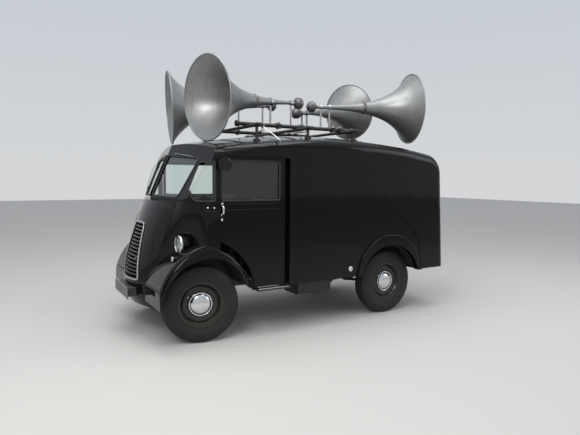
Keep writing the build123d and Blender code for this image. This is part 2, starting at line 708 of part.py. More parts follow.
# Number plates on their boxed brackets
PLATE_T = 8.0
front_box = block(ahead(478), ahead(FRONT_REACH - PLATE_T), -230, 230, 385, 466) - cab_form(-GAP)
front_plate = block(ahead(FRONT_REACH - PLATE_T), ahead(FRONT_REACH), -260, 260, 370, 481) + largest(front_box)
rear_plate = block(-LENGTH / 2, -LENGTH / 2 + PLATE_T, -170, 170, 330, 470)
rear_plate = rear_plate + block(-LENGTH / 2 + PLATE_T, REAR_AXLE_X - RAIL_REAR - GAP, -60, 60, 420, 462)
save("number_plates", apart(front_plate, rear_plate))

# Chassis: two box rails with spring hangers, cross members and outriggers
rails = Part()
for hand in (1, -1):
    y0, y1 = hand * RAIL_Y, hand * (RAIL_Y - RAIL_W)
    rails = rails + block(REAR_AXLE_X - RAIL_REAR, FRONT_AXLE_X + RAIL_FRONT_AHEAD, y0, y1, RAIL_Z, FLOOR_Z)
    for axle_x in (FRONT_AXLE_X, REAR_AXLE_X):
        for eye in (axle_x - SPRING_HALF, axle_x + SPRING_HALF):
            rails = rails + block(eye - 18, eye + 18, y0, y1, SPRING_EYE_Z + SPRING_T / 2 + GAP, RAIL_Z)
    for back in OUTRIGGER_BACK:
        x = ahead(-back)
        outrigger = (x - 16, x + 16, hand * (RAIL_Y - 5), hand * (FLOOR_HALF - 20))
        rails = rails + block(*outrigger, FLOOR_Z - OUTRIGGER_H, FLOOR_Z)
for back in CROSS_BACK:
    x = ahead(-back)
    rails = rails + block(x - 30, x + 30, -RAIL_Y + 5, RAIL_Y - 5, RAIL_Z + 15, FLOOR_Z - 15)
for back in BEARER_BACK:
    x = ahead(-back)
    rails = rails + block(x - 25, x + 25, -RAIL_Y + 5, RAIL_Y - 5, RAIL_Z, ENGINE_Z[0] - GAP)
save("chassis_frame", rails)

# Leaf springs, axles and steering knuckles
springs = []
spring_end = SPRING_HALF + 20
for axle_x in (FRONT_AXLE_X, REAR_AXLE_X):
    for hand in (1, -1):
        y0 = min(hand * RAIL_Y, hand * (RAIL_Y - RAIL_W)) + 2
        top, low = SPRING_EYE_Z + SPRING_T / 2, SPRING_EYE_Z - SPRING_T / 2
        leaf = outline(side_view(y0), (axle_x - spring_end, top),
                       ((axle_x, SPRING_LOW_Z + SPRING_T), (axle_x + spring_end, top)),
                       (axle_x + spring_end, low), ((axle_x, SPRING_LOW_Z), (axle_x - spring_end, low)))
        springs.append(slab(leaf, (0, 1, 0), RAIL_W - 4))
save("leaf_springs", apart(*springs))

beam_end = KINGPIN_Y - 10
beam = block(FRONT_AXLE_X - 26, FRONT_AXLE_X + 26, -beam_end, beam_end, BEAM_Z, BEAM_Z + BEAM_H)
for hand in (1, -1):
    y = KINGPIN_Y * hand
    beam = beam + upright(FRONT_AXLE_X, y, 28, BEAM_Z, TYRE_R + 32)
    beam = beam - upright(FRONT_AXLE_X, y, KINGPIN_R + RUN_FIT, 0, 600)
save("front_axle", beam)

DIFF_R = 118.0
BACKPLATE_Y = (KINGPIN_Y + 36, KINGPIN_Y + 42)
rear_tube = across(-WHEELBASE, TYRE_R, TYRE_R - BEAM_Z, -590, 590) + Pos(REAR_AXLE_X, 0, TYRE_R) * Sphere(DIFF_R)
for hand in (1, -1):
    stub = across(-WHEELBASE, TYRE_R, SPINDLE_R, 588 * hand, (TRACK / 2 + SPINDLE_END) * hand)
    backplate = across(-WHEELBASE, TYRE_R, DRUM_R, BACKPLATE_Y[0] * hand, BACKPLATE_Y[1] * hand)
    rear_tube = rear_tube + stub + backplate
save("rear_axle", rear_tube)


def turned(shape, hand):
    """A front wheel's piece turned about its kingpin, as parked."""
    pin = Axis((FRONT_AXLE_X, KINGPIN_Y * hand, 0), (0, 0, 1))
    return shape.rotate(pin, PARKED_STEER)


def knuckle(hand):
    y = KINGPIN_Y * hand
    foot_z, neck = BEAM_Z - 24, (y + 34 * hand, y + 42 * hand)
    part = upright(FRONT_AXLE_X, y, KINGPIN_R, foot_z, KNUCKLE_TOP)
    for z0, z1 in ((TYRE_R + 32 + GAP, KNUCKLE_TOP), (foot_z, BEAM_Z - GAP)):
        part = part + upright(FRONT_AXLE_X, y, 26, z0, z1)
        part = part + block(FRONT_AXLE_X - 24, FRONT_AXLE_X + 24, y, y + 42 * hand, z0, z1)
    part = part + block(FRONT_AXLE_X - 24, FRONT_AXLE_X + 24, *neck, foot_z, KNUCKLE_TOP)
    part = part + across(0, TYRE_R, SPINDLE_R, y + 40 * hand, (TRACK / 2 + SPINDLE_END) * hand)
    part = part + across(0, TYRE_R, DRUM_R, BACKPLATE_Y[0] * hand, BACKPLATE_Y[1] * hand)
    return turned(part, hand)


for hand, name in ((1, "left"), (-1, "right")):
    save(f"knuckle_{name}", knuckle(hand))

# Wheels, modelled about +Y as the outer side: rim, disc with its drum, and bright hub cap


def spun(wire):
    return revolve(Face(wire), axis=Axis.Y)


def wheel_form():
    half, seat, well = RIM_W / 2, RIM_R - 14, RIM_R - 30
    flange, bore = RIM_R + RIM_FLANGE, SPINDLE_R + RUN_FIT
    rim = outline(end_view(0), (-half - 6, flange), (-half - 6, seat), (-half + 8, seat), (-14, well), (26, well),
                  (half - 8, seat), (half + 6, seat), (half + 6, flange), (half, flange), (half, RIM_R - 2),
                  (half - 16, RIM_R - 3), (26, well + 10), (-14, well + 10), (-half + 16, RIM_R - 3),
                  (-half, RIM_R - 2), (-half, flange))
    disc = outline(end_view(0), (12, well + 5), (22, well + 5), ((40, 150), (30, HUB_CAP_R + 4)), (30, bore),
                   (-24, bore), (-24, 40), (-12, 40), (-12, DRUM_R - 12), (-24, DRUM_R - 12), (-24, DRUM_R),
                   (-6, DRUM_R), (18, HUB_CAP_R + 10), ((29, 150), (12, well + 5)))
    cap = outline(end_view(0), (30, HUB_CAP_R), (34, HUB_CAP_R), ((62, 62), (HUB_CAP_CROWN, POLE_R)),
                  (HUB_CAP_CROWN, 0), (52, 0), (52, 30), (30, 30))
    return spun(rim) + spun(disc) + spun(cap)


def tyre_form():
    half, bead = TYRE_W / 2, RIM_W / 2 - GAP
    seat, waist, root = RIM_R - 2 + GAP, RIM_R + TYRE_WAIST_Z, RIM_R + 30
    return spun(outline(end_view(0), (-bead, seat), (-bead, root), ((-half, waist), (-half + 14, TYRE_R - 18)),
                        (-half + 30, TYRE_R - 4), ((0, TYRE_R), (half - 30, TYRE_R - 4)), (half - 14, TYRE_R - 18),
                        ((half, waist), (bead, root)), (bead, seat), (bead - 16, seat),
                        ((0, RIM_R + 60), (-bead + 16, seat))))


steel = wheel_form()
rubber = tyre_form()
for end, axle_x in (("front", FRONT_AXLE_X), ("rear", REAR_AXLE_X)):
    for hand, name in ((1, "left"), (-1, "right")):
        for part_name, shape in (("wheel", steel), ("tyre", rubber)):
            facing = shape if hand > 0 else shape.rotate(Axis.Z, 180)
            placed = Pos(axle_x, hand * TRACK / 2, TYRE_R) * facing
            save(f"{part_name}_{end}_{name}", turned(placed, hand) if end == "front" else placed)

# Floor with its wheel boxes and engine opening, and the raised load board
floor = block(ahead(-2960), ahead(-470), -FLOOR_HALF, FLOOR_HALF, FLOOR_Z, FLOOR_TOP)
floor = floor + block(ahead(-480), ahead(370), -WELL_Y, WELL_Y, FLOOR_Z, FLOOR_TOP)
low_zone = block(-FAR, FAR, -FAR, FAR, FLOOR_Z, 1000)
well_zone = block(ahead(-600), ahead(300), -FAR, FAR, FLOOR_Z, 1000)
for hand in (1, -1):
    out = FLOOR_HALF * hand
    floor = floor + (across(-WHEELBASE, TYRE_R, 425, 560 * hand, out) & low_zone)
    floor = floor - across(-WHEELBASE, TYRE_R, 413, 572 * hand, 1000 * hand)
    inner = (WELL_Y - WELL_T + 1) * hand
    wall = across(-ARCH_BACK, ARCH_Z, ARCH_R + 2 + WELL_T, inner, WELL_Y * hand)
    barrel = across(-ARCH_BACK, ARCH_Z, ARCH_R + 2 + WELL_T, inner, out)
    barrel = barrel - across(-ARCH_BACK, ARCH_Z, ARCH_R + 2, inner, out)
    floor = floor + (wall & low_zone) + (barrel & well_zone)
cargo_zone = block(-FAR, ahead(-CORNER_BACK), -1200, 1200, 0, 2000)
floor = floor & (cab_form(WALL + GAP) + (body_form(WALL + GAP) & cargo_zone))
engine_x = [ahead(-b) for b in reversed(ENGINE_BACK)]
bay = (engine_x[0] - 30, engine_x[1] + 30, -ENGINE_HALF - 15, ENGINE_HALF + 15)
floor = floor - block(*bay, FLOOR_Z - 100, FLOOR_Z + 100)
board_x = [ahead(-b) for b in reversed(BOARD_BACK)]
save("floor", floor + block(*board_x, -BOARD_HALF, BOARD_HALF, FLOOR_TOP, FLOOR_TOP + BOARD_T))

# Engine with its gearbox, as one block, under a cover between the seats
gearbox = block(ahead(-GEARBOX_BACK), engine_x[0], -60, 90, BEAM_Z + 20, 480)
save("power_unit", block(*engine_x, -ENGINE_HALF, ENGINE_HALF, *ENGINE_Z) + gearbox)
cover = block(bay[0] - COVER_WALL, bay[1] + COVER_WALL, bay[2] - COVER_WALL, bay[3] + COVER_WALL,
              FLOOR_TOP, ENGINE_Z[1] + 40 + COVER_WALL)
save("engine_cover", cover - block(*bay, FLOOR_Z, ENGINE_Z[1] + 40))
save("prop_shaft", rod((ahead(-GEARBOX_BACK - 1), 15, 386), (ahead(-WHEELBASE + DIFF_R), 0, 370), 24))
tank_x = [ahead(-b) for b in reversed(TANK_BACK)]
tank = block(*tank_x, 350, 640, 300, FLOOR_Z - OUTRIGGER_H - GAP)
save("fuel_tank", fillet(tank.edges().filter_by(Axis.X), 30))
exhaust = rod((ahead(-440), PIPE_Y, PIPE_Z), (ahead(-1500), PIPE_Y, PIPE_Z), 20)
exhaust = exhaust + rod((ahead(-900), PIPE_Y, PIPE_Z), (ahead(-1300), PIPE_Y, PIPE_Z), 60)
for back in CROSS_BACK[1:3]:
    strap = (ahead(-back) - 12, ahead(-back) + 12, PIPE_Y - 10, PIPE_Y + 10)
    exhaust = exhaust + block(*strap, PIPE_Z + 5, RAIL_Z + 15 - GAP)
save("exhaust", exhaust)

# Dashboard and seats: open-sided boxes that carry a base and a back cushion each
save("dashboard", block(ahead(40), ahead(400), -700, 700, 1110, 1240) & cab_form(WALL + GAP))
seat_frames = []
seat_x = [ahead(-b) for b in reversed(SEAT_BACK)]
for name, y in (("driver", -SEAT_Y), ("passenger", SEAT_Y)):
    t = SEAT_FRAME_T
    frame = block(*seat_x, y - SEAT_HALF, y + SEAT_HALF, FLOOR_TOP, SEAT_Z)
    frame = frame - block(seat_x[0] + t, seat_x[1] - t, y - SEAT_HALF + t, y + SEAT_HALF - t, FLOOR_Z, SEAT_Z - t)
    frame = frame - block(seat_x[0] + 50, seat_x[1] - 50, y - 300, y + 300, FLOOR_TOP + 50, SEAT_Z - 50)
    frame = frame - across(-ARCH_BACK, ARCH_Z, ARCH_R + 2 + WELL_T + GAP, y - 300, y + 300)
    seat_frames.append(largest(frame))
    base = block(seat_x[0], seat_x[1] + 30, y - CUSHION_HALF, y + CUSHION_HALF, SEAT_Z + GAP, SEAT_Z + CUSHION_T)
    back = block(seat_x[0] - 95, seat_x[0] - GAP, y - CUSHION_HALF, y + CUSHION_HALF, SEAT_Z + 10, SEAT_Z + 520)
    save(f"{name}_cushions", apart(*[fillet(pad.edges(), CUSHION_EDGE_R) for pad in (base, back)]))
save("seat_frames", apart(*seat_frames))

# Steering column on its foot, and the three-spoke wheel on its top
column_top = Vector(ahead(COLUMN_TOP[0]), *COLUMN_TOP[1:])
column_low = Vector(ahead(COLUMN_FOOT[0]), COLUMN_FOOT[1], FLOOR_TOP + 24)
toward = (column_top - column_low).normalized()
column = rod(tuple(column_low), tuple(column_top - toward * (20 + GAP)), 17)
foot_x, foot_y = column_low.X, column_low.Y
save("steering_column", column + block(foot_x - 48, foot_x + 48, foot_y - 34, foot_y + 34, FLOOR_TOP, FLOOR_TOP + 24))
hub_plane = Plane(origin=column_top, z_dir=toward)
wheel_ring = hub_plane * Torus(STEERING_R, 12) + hub_plane * Cylinder(32, 40)
for i in range(3):
    angle = math.radians(90 + 120 * i)
    tip = hub_plane.from_local_coords((STEERING_R * math.cos(angle), STEERING_R * math.sin(angle), 0))
    wheel_ring = wheel_ring + rod(tuple(column_top), tuple(tip), 7)
save("steering_wheel", wheel_ring)

# Door mirrors and the step rails below the doors
mirrors = []
steps = []
for hand in (1, -1):
    face = Plane(origin=(ahead(-109), 975 * hand, 1628), z_dir=(0.84, 0.54 * hand, 0))
    arm = rod((ahead(-96), (HALF_WIDTH + 3) * hand, 1640), (ahead(-109), 962 * hand, 1630), 5)
    foot = block(ahead(-112), ahead(-80), (HALF_WIDTH - 30) * hand, (HALF_WIDTH + 8) * hand, 1625, 1655)
    mirrors.append(face * Cylinder(60, 14) + arm + largest(foot - body_seat))
    step = block(ahead(-854), ahead(-501), 768 * hand, 850 * hand, 442, 462)
    for back in OUTRIGGER_BACK[:2]:
        bracket = (ahead(-back) - 14, ahead(-back) + 14, 600 * hand, 780 * hand)
        step = step + block(*bracket, 442, FLOOR_Z - OUTRIGGER_H - GAP)
    steps.append(step)
save("mirrors", apart(*mirrors))
save("step_rails", apart(*steps))

# Roof rack: two long tubes on cross bars that stand on the roof's edges
rack = Part()
for hand in (1, -1):
    y = RACK_Y * hand
    rack = rack + rod((ahead(-RACK_BACK[1]), y, RACK_Z), (ahead(-RACK_BACK[0]), y, RACK_Z), RACK_TUBE_R)
    for end in (-RACK_BACK[1] - 15, -RACK_BACK[0] - 15):
        rack = rack + rod((ahead(end), y, RACK_Z), (ahead(end + 30), y, RACK_Z), RACK_TUBE_R + 10)
bar_z = RACK_Z - 30
for back in RACK_BAR_BACK:
    x = ahead(-back)
    rack = rack + across(-back, bar_z, RACK_BAR_R, -RACK_BAR_HALF, RACK_BAR_HALF)
    for hand in (1, -1):
        y = RACK_FOOT_Y * hand
        roof = roof_at(x, RACK_FOOT_Y)
        rack = rack + across(-back, bar_z, RACK_BAR_R + 8, y - 18, y + 18)
        rack = rack + upright(x, y, 14, roof - 40, bar_z + 10) + upright(x, y, 34, roof - 40, roof + 14)
save("roof_rack", largest(rack - body_seat))

# Horn loudspeakers: spun bells with a rolled lip, each on two clamps with posts to the rack
ARC_MARKS = (0.0, 0.2, 0.35, 0.5, 0.65, 0.8, 0.92, 1.0)


def horn_radius(share, lip):
    """Outside radius at a share of the bell's length from the throat."""
    return THROAT_R * (lip / THROAT_R) ** (share ** BELL_FLARE)


def horn_curve(lip, gap, marks):
    edges = []
    for a, b in zip(marks[:-1], marks[1:]):
        points = [((s - 1) * BELL_L, 0, horn_radius(s, lip) + gap) for s in (a, (a + b) / 2, b)]
        edges.append(Edge.make_three_point_arc(*points))
    return edges


def horn_form(lip):
    """Bell about +X with its mouth at 0, a seam bead and the lip rolled at its edge."""
    outside, inside = horn_curve(lip, 0, ARC_MARKS), horn_curve(lip, -BELL_T, ARC_MARKS)
    ends = [Edge.make_line(outside[-1] @ 1, inside[-1] @ 1), Edge.make_line(outside[0] @ 0, inside[0] @ 0)]
    bell = revolve(Face(Wire(outside + inside + ends)), axis=Axis.X)
    seam = Pos((BELL_SEAM - 1) * BELL_L, 0, 0) * Rot(0, 90, 0) * Torus(horn_radius(BELL_SEAM, lip), 4)
    seam = seam - horn_core(lip, -1)
    return bell + seam + Rot(0, 90, 0) * Torus(lip, LIP_R)


def horn_core(lip, gap):
    """The rear half of the bell's outer form as a filled solid, a gap larger all round."""
    edges = horn_curve(lip, gap, ARC_MARKS[:5])
    low, high = edges[0] @ 0, edges[-1] @ 1
    edges.append(Edge.make_line(high, (high.X, 0, 0)))
    edges.append(Edge.make_line((high.X, 0, 0), (low.X, 0, 0)))
    edges.append(Edge.make_line((low.X, 0, 0), low))
    return revolve(Face(Wire(edges)), axis=Axis.X)


def driver():
    """Driver pot behind the throat: neck, drum with a flange, and a domed back."""
    wire = outline(side_view(0), (-GAP, 0), (-GAP, THROAT_R + 6), (-22, THROAT_R + 6),
                   ((-33, POT_R * 0.75), (-50, POT_R - 5)), (-50, POT_R), (-92, POT_R), (-92, POT_R - 6),
                   ((-118, POT_R * 0.6), (-POT_L, POLE_R)), (-POT_L, 0))
    return Pos(-BELL_L, 0, 0) * revolve(Face(wire), axis=Axis.X)


pots = []
stands = Part()
for name, mouth_r, mouth_x, mouth_y, mouth_z, heading, tilt, second in HORNS:
    lip = mouth_r - LIP_R
    place = Pos(ahead(mouth_x), mouth_y, mouth_z) * Rot(0, 0, heading) * Rot(0, -tilt, 0)
    save(f"horn_{name}", place * horn_form(lip))
    pots.append(place * driver())
    core = horn_core(lip, GAP)
    for along in (40.0, second):
        r = horn_radius(along / BELL_L, lip)
        centre = (place * Pos(along - BELL_L, 0, 0)).position
        clamp = place * (Pos(along - BELL_L, 0, 0) * Rot(0, 90, 0) * Cylinder(r + 9, 30) - core)
        foot_z = RACK_Z + RACK_TUBE_R + GAP
        stands = stands + clamp + rod((centre.X, centre.Y, foot_z), (centre.X, centre.Y, centre.Z - r - 4), 11)
        rail_y = math.copysign(RACK_Y, centre.Y)
        reach = sorted((centre.Y, rail_y))
        stands = stands + block(centre.X - 12, centre.X + 12, reach[0] - 12, reach[1] + 12, foot_z, foot_z + 12)
save("horn_drivers", apart(*pots))
save("horn_stands", stands)
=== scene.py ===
import json
import math

import bmesh
import bpy
from mathutils import Matrix, Vector
from mathutils.bvhtree import BVHTree


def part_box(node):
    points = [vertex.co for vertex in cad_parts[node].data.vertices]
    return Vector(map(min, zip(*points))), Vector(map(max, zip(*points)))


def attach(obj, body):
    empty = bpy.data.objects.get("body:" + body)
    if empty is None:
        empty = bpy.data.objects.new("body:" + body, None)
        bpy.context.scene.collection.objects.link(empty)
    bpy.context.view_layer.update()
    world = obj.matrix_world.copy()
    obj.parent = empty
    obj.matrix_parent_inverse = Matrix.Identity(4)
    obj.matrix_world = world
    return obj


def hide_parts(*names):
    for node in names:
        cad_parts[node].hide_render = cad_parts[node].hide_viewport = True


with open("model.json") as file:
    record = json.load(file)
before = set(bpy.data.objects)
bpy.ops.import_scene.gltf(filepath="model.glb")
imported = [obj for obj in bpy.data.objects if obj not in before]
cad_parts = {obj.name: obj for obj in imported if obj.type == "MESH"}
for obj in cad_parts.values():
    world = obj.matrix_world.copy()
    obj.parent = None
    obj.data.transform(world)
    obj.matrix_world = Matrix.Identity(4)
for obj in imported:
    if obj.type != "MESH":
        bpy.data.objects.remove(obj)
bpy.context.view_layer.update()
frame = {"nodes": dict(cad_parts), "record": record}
nodes = frame["nodes"]

# Studio floor, light and camera
# A pale seamless floor and backdrop under one broad overhead panel and two side
# panels, with the camera where the photographer stood, ahead of the van's left side.
LENGTH = 3.604
FRONT_REACH = 0.570
FRONT_AXLE_X = LENGTH / 2 - FRONT_REACH
FLOOR_HALF = 30.0
PHOTO_WIDE = 580
FOCAL_PIXELS = 501.36
CAMERA_AT = Vector((FRONT_AXLE_X + 1.636, 4.994, 1.511))
YAW, PITCH, ROLL = (math.radians(a) for a in (-120.866, -4.485, 0.45))
AHEAD, LEFTWARD, UPWARD = Vector((1, 0, 0)), Vector((0, 1, 0)), Vector((0, 0, 1))
# columns: name, place, aim, width and depth, watts, colour
LAMPS = [
    ("overhead", (0.5, 1.0, 6.5), (0.0, 0.0, 1.0), (6.0, 4.0), 240, (1.0, 0.98, 0.95)),
    ("key", (4.5, 4.0, 5.0), (0.3, 0.3, 1.2), (2.4, 2.4), 150, (1.0, 0.96, 0.90)),
    ("rear_fill", (-5.5, 4.5, 3.6), (-0.8, 0.0, 1.2), (3.0, 3.0), 60, (0.93, 0.96, 1.0)),
]


def link(obj):
    bpy.context.scene.collection.objects.link(obj)
    return obj


def mesh_object(name, verts, faces, smooth=True):
    mesh = bpy.data.meshes.new(name)
    mesh.from_pydata([tuple(v) for v in verts], [], faces)
    mesh.validate()
    for polygon in mesh.polygons:
        polygon.use_smooth = smooth
    return link(bpy.data.objects.new(name, mesh))


def new_material(name, sockets):
    """A material, its nodes and its shader, with the values of the shader's sockets."""
    material = bpy.data.materials.new(name)
    material.use_nodes = True
    tree = material.node_tree
    shader = tree.nodes["Principled BSDF"]
    for key, value in sockets.items():
        shader.inputs[key].default_value = value
    return material, tree, shader


def feed(tree, socket, source):
    """A number or colour becomes the socket's own value, and another socket is linked."""
    if isinstance(source, (int, float, tuple)):
        socket.default_value = source
    else:
        tree.links.new(source, socket)


def node(tree, kind, inputs, **settings):
    """A shader node with its settings, and a value or a link for each named input."""
    made = tree.nodes.new(f"ShaderNode{kind}")
    for key, value in settings.items():
        setattr(made, key, value)
    for key, source in inputs.items():
        feed(tree, made.inputs[key], source)
    return made


def bumped(tree, shader, height, strength, distance):
    made = node(tree, "Bump", {"Height": height, "Strength": strength, "Distance": distance})
    tree.links.new(made.outputs["Normal"], shader.inputs["Normal"])


floor_material, tree, shader = new_material("studio_floor", {
    "Base Color": (0.60, 0.60, 0.59, 1), "Roughness": 0.85, "Specular IOR Level": 0.2})
bumped(tree, shader, node(tree, "TexNoise", {"Scale": 140.0}).outputs["Fac"], 0.04, 0.001)
corners = [(x * FLOOR_HALF, y * FLOOR_HALF, 0) for x, y in ((-1, -1), (1, -1), (1, 1), (-1, 1))]
studio_floor = mesh_object("studio_floor", corners, [(0, 1, 2, 3)], False)
studio_floor.data.materials.append(floor_material)

world = bpy.data.worlds.new("studio")
bpy.context.scene.world = world
world.use_nodes = True
tree = world.node_tree
tree.nodes.clear()
rays = node(tree, "LightPath", {}).outputs
seen = rays["Is Camera Ray"]
for ray in ("Is Glossy Ray", "Is Transmission Ray"):
    seen = node(tree, "Math", {0: seen, 1: rays[ray]}, operation="MAXIMUM").outputs[0]
around = node(tree, "TexCoord", {}).outputs["Generated"]
height = node(tree, "SeparateXYZ", {0: around}).outputs["Z"]
sky_ramp = node(tree, "ValToRGB", {"Fac": height})
stops = sky_ramp.color_ramp.elements
stops[0].color = (0.66, 0.67, 0.68, 1)
stops[1].color = (0.70, 0.78, 0.92, 1)
stops.new(0.35).color = (0.56, 0.60, 0.66, 1)
lit = node(tree, "Background", {"Color": (0.94, 0.96, 1.0, 1), "Strength": 0.60})
backdrop = node(tree, "Background", {"Color": sky_ramp.outputs["Color"], "Strength": 1.0})
mixed = node(tree, "MixShader", {0: seen, 1: lit.outputs[0], 2: backdrop.outputs[0]})
node(tree, "OutputWorld", {"Surface": mixed.outputs[0]})

for name, at, aim, size, watts, tint in LAMPS:
    lamp = bpy.data.lights.new(name, "AREA")
    lamp.shape = "RECTANGLE"
    lamp.size, lamp.size_y = size
    lamp.energy = watts
    lamp.color = tint
    holder = link(bpy.data.objects.new(name, lamp))
    holder.location = at
    holder.rotation_euler = (Vector(aim) - Vector(at)).to_track_quat("-Z", "Y").to_euler()

flat_share = math.cos(PITCH)
forward = Vector((flat_share * math.cos(YAW), flat_share * math.sin(YAW), math.sin(PITCH)))
level = forward.cross(UPWARD).normalized()
above = level.cross(forward)
right = level * math.cos(ROLL) + above * math.sin(ROLL)
up = above * math.cos(ROLL) - level * math.sin(ROLL)
lens = bpy.data.cameras.new("camera")
lens.sensor_width = 36.0
lens.lens = FOCAL_PIXELS / PHOTO_WIDE * lens.sensor_width
camera = link(bpy.data.objects.new("camera", lens))
rows = [(right[k], up[k], -forward[k], CAMERA_AT[k]) for k in range(3)]
camera.matrix_world = Matrix((*rows, (0, 0, 0, 1)))
bpy.context.scene.camera = camera
bpy.context.scene.view_settings.view_transform = "Standard"

# Black coachwork
# The roof, sides, cab front, nose, wings and doors are pressed steel under a
# deep polished black, with a faint ripple in the panels and dust on what faces up.
HANDS = (("left", 1), ("right", -1))
ROAD_DUST = (0.30, 0.27, 0.22, 1)


def object_coords(tree):
    return node(tree, "TexCoord", {}).outputs["Object"]


def noise(tree, where, scale, detail, roughness):
    inputs = {"Vector": where, "Scale": scale, "Detail": detail, "Roughness": roughness}
    return node(tree, "TexNoise", inputs).outputs["Fac"]


def ranged(tree, value, low, high, out_low, out_high):
    inputs = {"Value": value, "From Min": low, "From Max": high, "To Min": out_low, "To Max": out_high}
    return node(tree, "MapRange", inputs, clamp=True).outputs["Result"]


def maths(tree, operation, a, b):
    return node(tree, "Math", {0: a, 1: b}, operation=operation).outputs[0]


def mix_colour(tree, factor, a, b):
    return node(tree, "Mix", {"Factor": factor, "A": a, "B": b}, data_type="RGBA").outputs["Result"]


def two_tone(tree, where, grain, first, second):
    """Two colours mixed by a noise; grain is its scale, detail and roughness."""
    return mix_colour(tree, noise(tree, where, *grain), first, second)


def uneven(tree, where, grain, window, spread):
    """A value that wanders through spread as a noise passes through window."""
    return ranged(tree, noise(tree, where, *grain), *window, *spread)


def facing_up(tree, low, high):
    """How far the surface faces the sky, from 0 at low to 1 at high."""
    normal = node(tree, "NewGeometry", {}).outputs["Normal"]
    return ranged(tree, node(tree, "SeparateXYZ", {0: normal}).outputs["Z"], low, high, 0.0, 1.0)


settled_dust = bpy.data.node_groups.new("settled_dust", "ShaderNodeTree")
# columns: label, kind, value
for label, kind, value in (("Colour", "Color", (0, 0, 0, 1)), ("Dust Colour", "Color", ROAD_DUST),
                           ("Amount", "Float", 0.3), ("Clean Roughness", "Float", 0.1)):
    socket = settled_dust.interface.new_socket(name=label, in_out="INPUT", socket_type=f"NodeSocket{kind}")
    socket.default_value = value
for label, kind in (("Colour", "Color"), ("Roughness", "Float")):
    settled_dust.interface.new_socket(name=label, in_out="OUTPUT", socket_type=f"NodeSocket{kind}")
group_in = settled_dust.nodes.new("NodeGroupInput").outputs
group_out = settled_dust.nodes.new("NodeGroupOutput").inputs
tree = settled_dust
where = object_coords(tree)
height = node(tree, "SeparateXYZ", {0: where}).outputs["Z"]
thickest = maths(tree, "MAXIMUM", facing_up(tree, 0.25, 1.0), ranged(tree, height, 0.30, 0.85, 0.35, 0.0))
patchy = uneven(tree, where, (3.1, 6.0, 0.65), (0.35, 0.75), (0.25, 1.0))
cover = maths(tree, "MULTIPLY", maths(tree, "MULTIPLY", thickest, patchy), group_in["Amount"])
feed(tree, group_out["Colour"], mix_colour(tree, cover, group_in["Colour"], group_in["Dust Colour"]))
rougher = maths(tree, "MULTIPLY", cover, 0.9)
feed(tree, group_out["Roughness"], maths(tree, "ADD", rougher, group_in["Clean Roughness"]))


def dusty(tree, shader, colour, roughness, amount):
    """Sends a colour and a roughness through the dust group into a shader."""
    inputs = {"Colour": colour, "Clean Roughness": roughness, "Amount": amount}
    made = node(tree, "Group", inputs, node_tree=settled_dust)
    tree.links.new(made.outputs["Colour"], shader.inputs["Base Color"])
    tree.links.new(made.outputs["Roughness"], shader.inputs["Roughness"])


def surfaced(name, sockets=None):
    """A new material, with the object coordinates that its textures follow."""
    material, tree, shader = new_material(name, sockets or {})
    return material, tree, shader, object_coords(tree)


def coated(name, tones, roughness, dust=None, relief=None, sockets=None):
    """A two-tone material. The tones are (grain, first, second), a roughness that varies is
    (grain, window, spread) and a relief is (grain, strength, distance)."""
    material, tree, shader, where = surfaced(name, sockets)
    colour = two_tone(tree, where, *tones)
    if isinstance(roughness, tuple):
        roughness = uneven(tree, where, *roughness)
    if dust is None:
        feed(tree, shader.inputs["Base Color"], colour)
        feed(tree, shader.inputs["Roughness"], roughness)
    else:
        dusty(tree, shader, colour, roughness, dust)
    if relief:
        bumped(tree, shader, noise(tree, where, *relief[0]), *relief[1:])
    return material


def dress(material, *names):
    """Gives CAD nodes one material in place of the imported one."""
    for name in names:
        mesh = nodes[name].data
        mesh.materials.clear()
        mesh.materials.append(material)


coach_black = coated(
    "coach_black", ((1.7, 2.0, 0.5), (0.0018, 0.0019, 0.0022, 1), (0.0034, 0.0033, 0.0034, 1)),
    ((9.0, 5.0, 0.6), (0.3, 0.8), (0.03, 0.09)), dust=0.07, relief=((5.5, 1.0, 0.4), 0.14, 0.005),
    sockets={"Specular IOR Level": 0.20, "Coat Weight": 0.06, "Coat Roughness": 0.03})
dress(coach_black, "roof_panel", "cab_front", "nose_panel")
for side_name, hand in HANDS:
    dress(coach_black, f"side_panel_{side_name}", f"front_wing_{side_name}", f"door_{side_name}",
          f"rear_door_{side_name}")

# Panel creases and joints
# Where pressed panels meet or are creased, a fine raised bead of the same steel runs
# over the surface: bonnet edge, nose ridges and creases, waist lines and roof joints.
BEAD_STEP = 0.02
BEAD_SUNK = 0.25


def surface_of(*names):
    """Search tree over the meshes of one or more CAD nodes."""
    verts = []
    faces = []
    for name in names:
        mesh = nodes[name].data
        start = len(verts)
        verts += [v.co.copy() for v in mesh.vertices]
        faces += [tuple(start + i for i in p.vertices) for p in mesh.polygons]
    return BVHTree.FromPolygons(verts, faces)


def resampled(points, step):
    made = [Vector(points[0])]
    for a, b in zip(points[:-1], points[1:]):
        a, b = Vector(a), Vector(b)
        count = max(1, round((b - a).length / step))
        made += [a.lerp(b, (i + 1) / count) for i in range(count)]
    return made


def smoothed(points, passes):
    for _ in range(passes):
        inner = [(a + b * 2 + c) / 4 for a, b, c in zip(points[:-2], points[1:-1], points[2:])]
        points = [points[0], *inner, points[-1]]
    return points


def ring_faces(rings, sides, round_rings=True, joined=False, capped=False):
    """Faces between rings of vertices that follow one another in a list."""
    faces = []
    for i in range(rings if joined else rings - 1):
        j = (i + 1) % rings
        for k in range(sides if round_rings else sides - 1):
            m = (k + 1) % sides
            faces.append((i * sides + k, i * sides + m, j * sides + m, j * sides + k))
    if capped:
        faces += [tuple(reversed(range(sides))), tuple((rings - 1) * sides + k for k in range(sides))]
    return faces


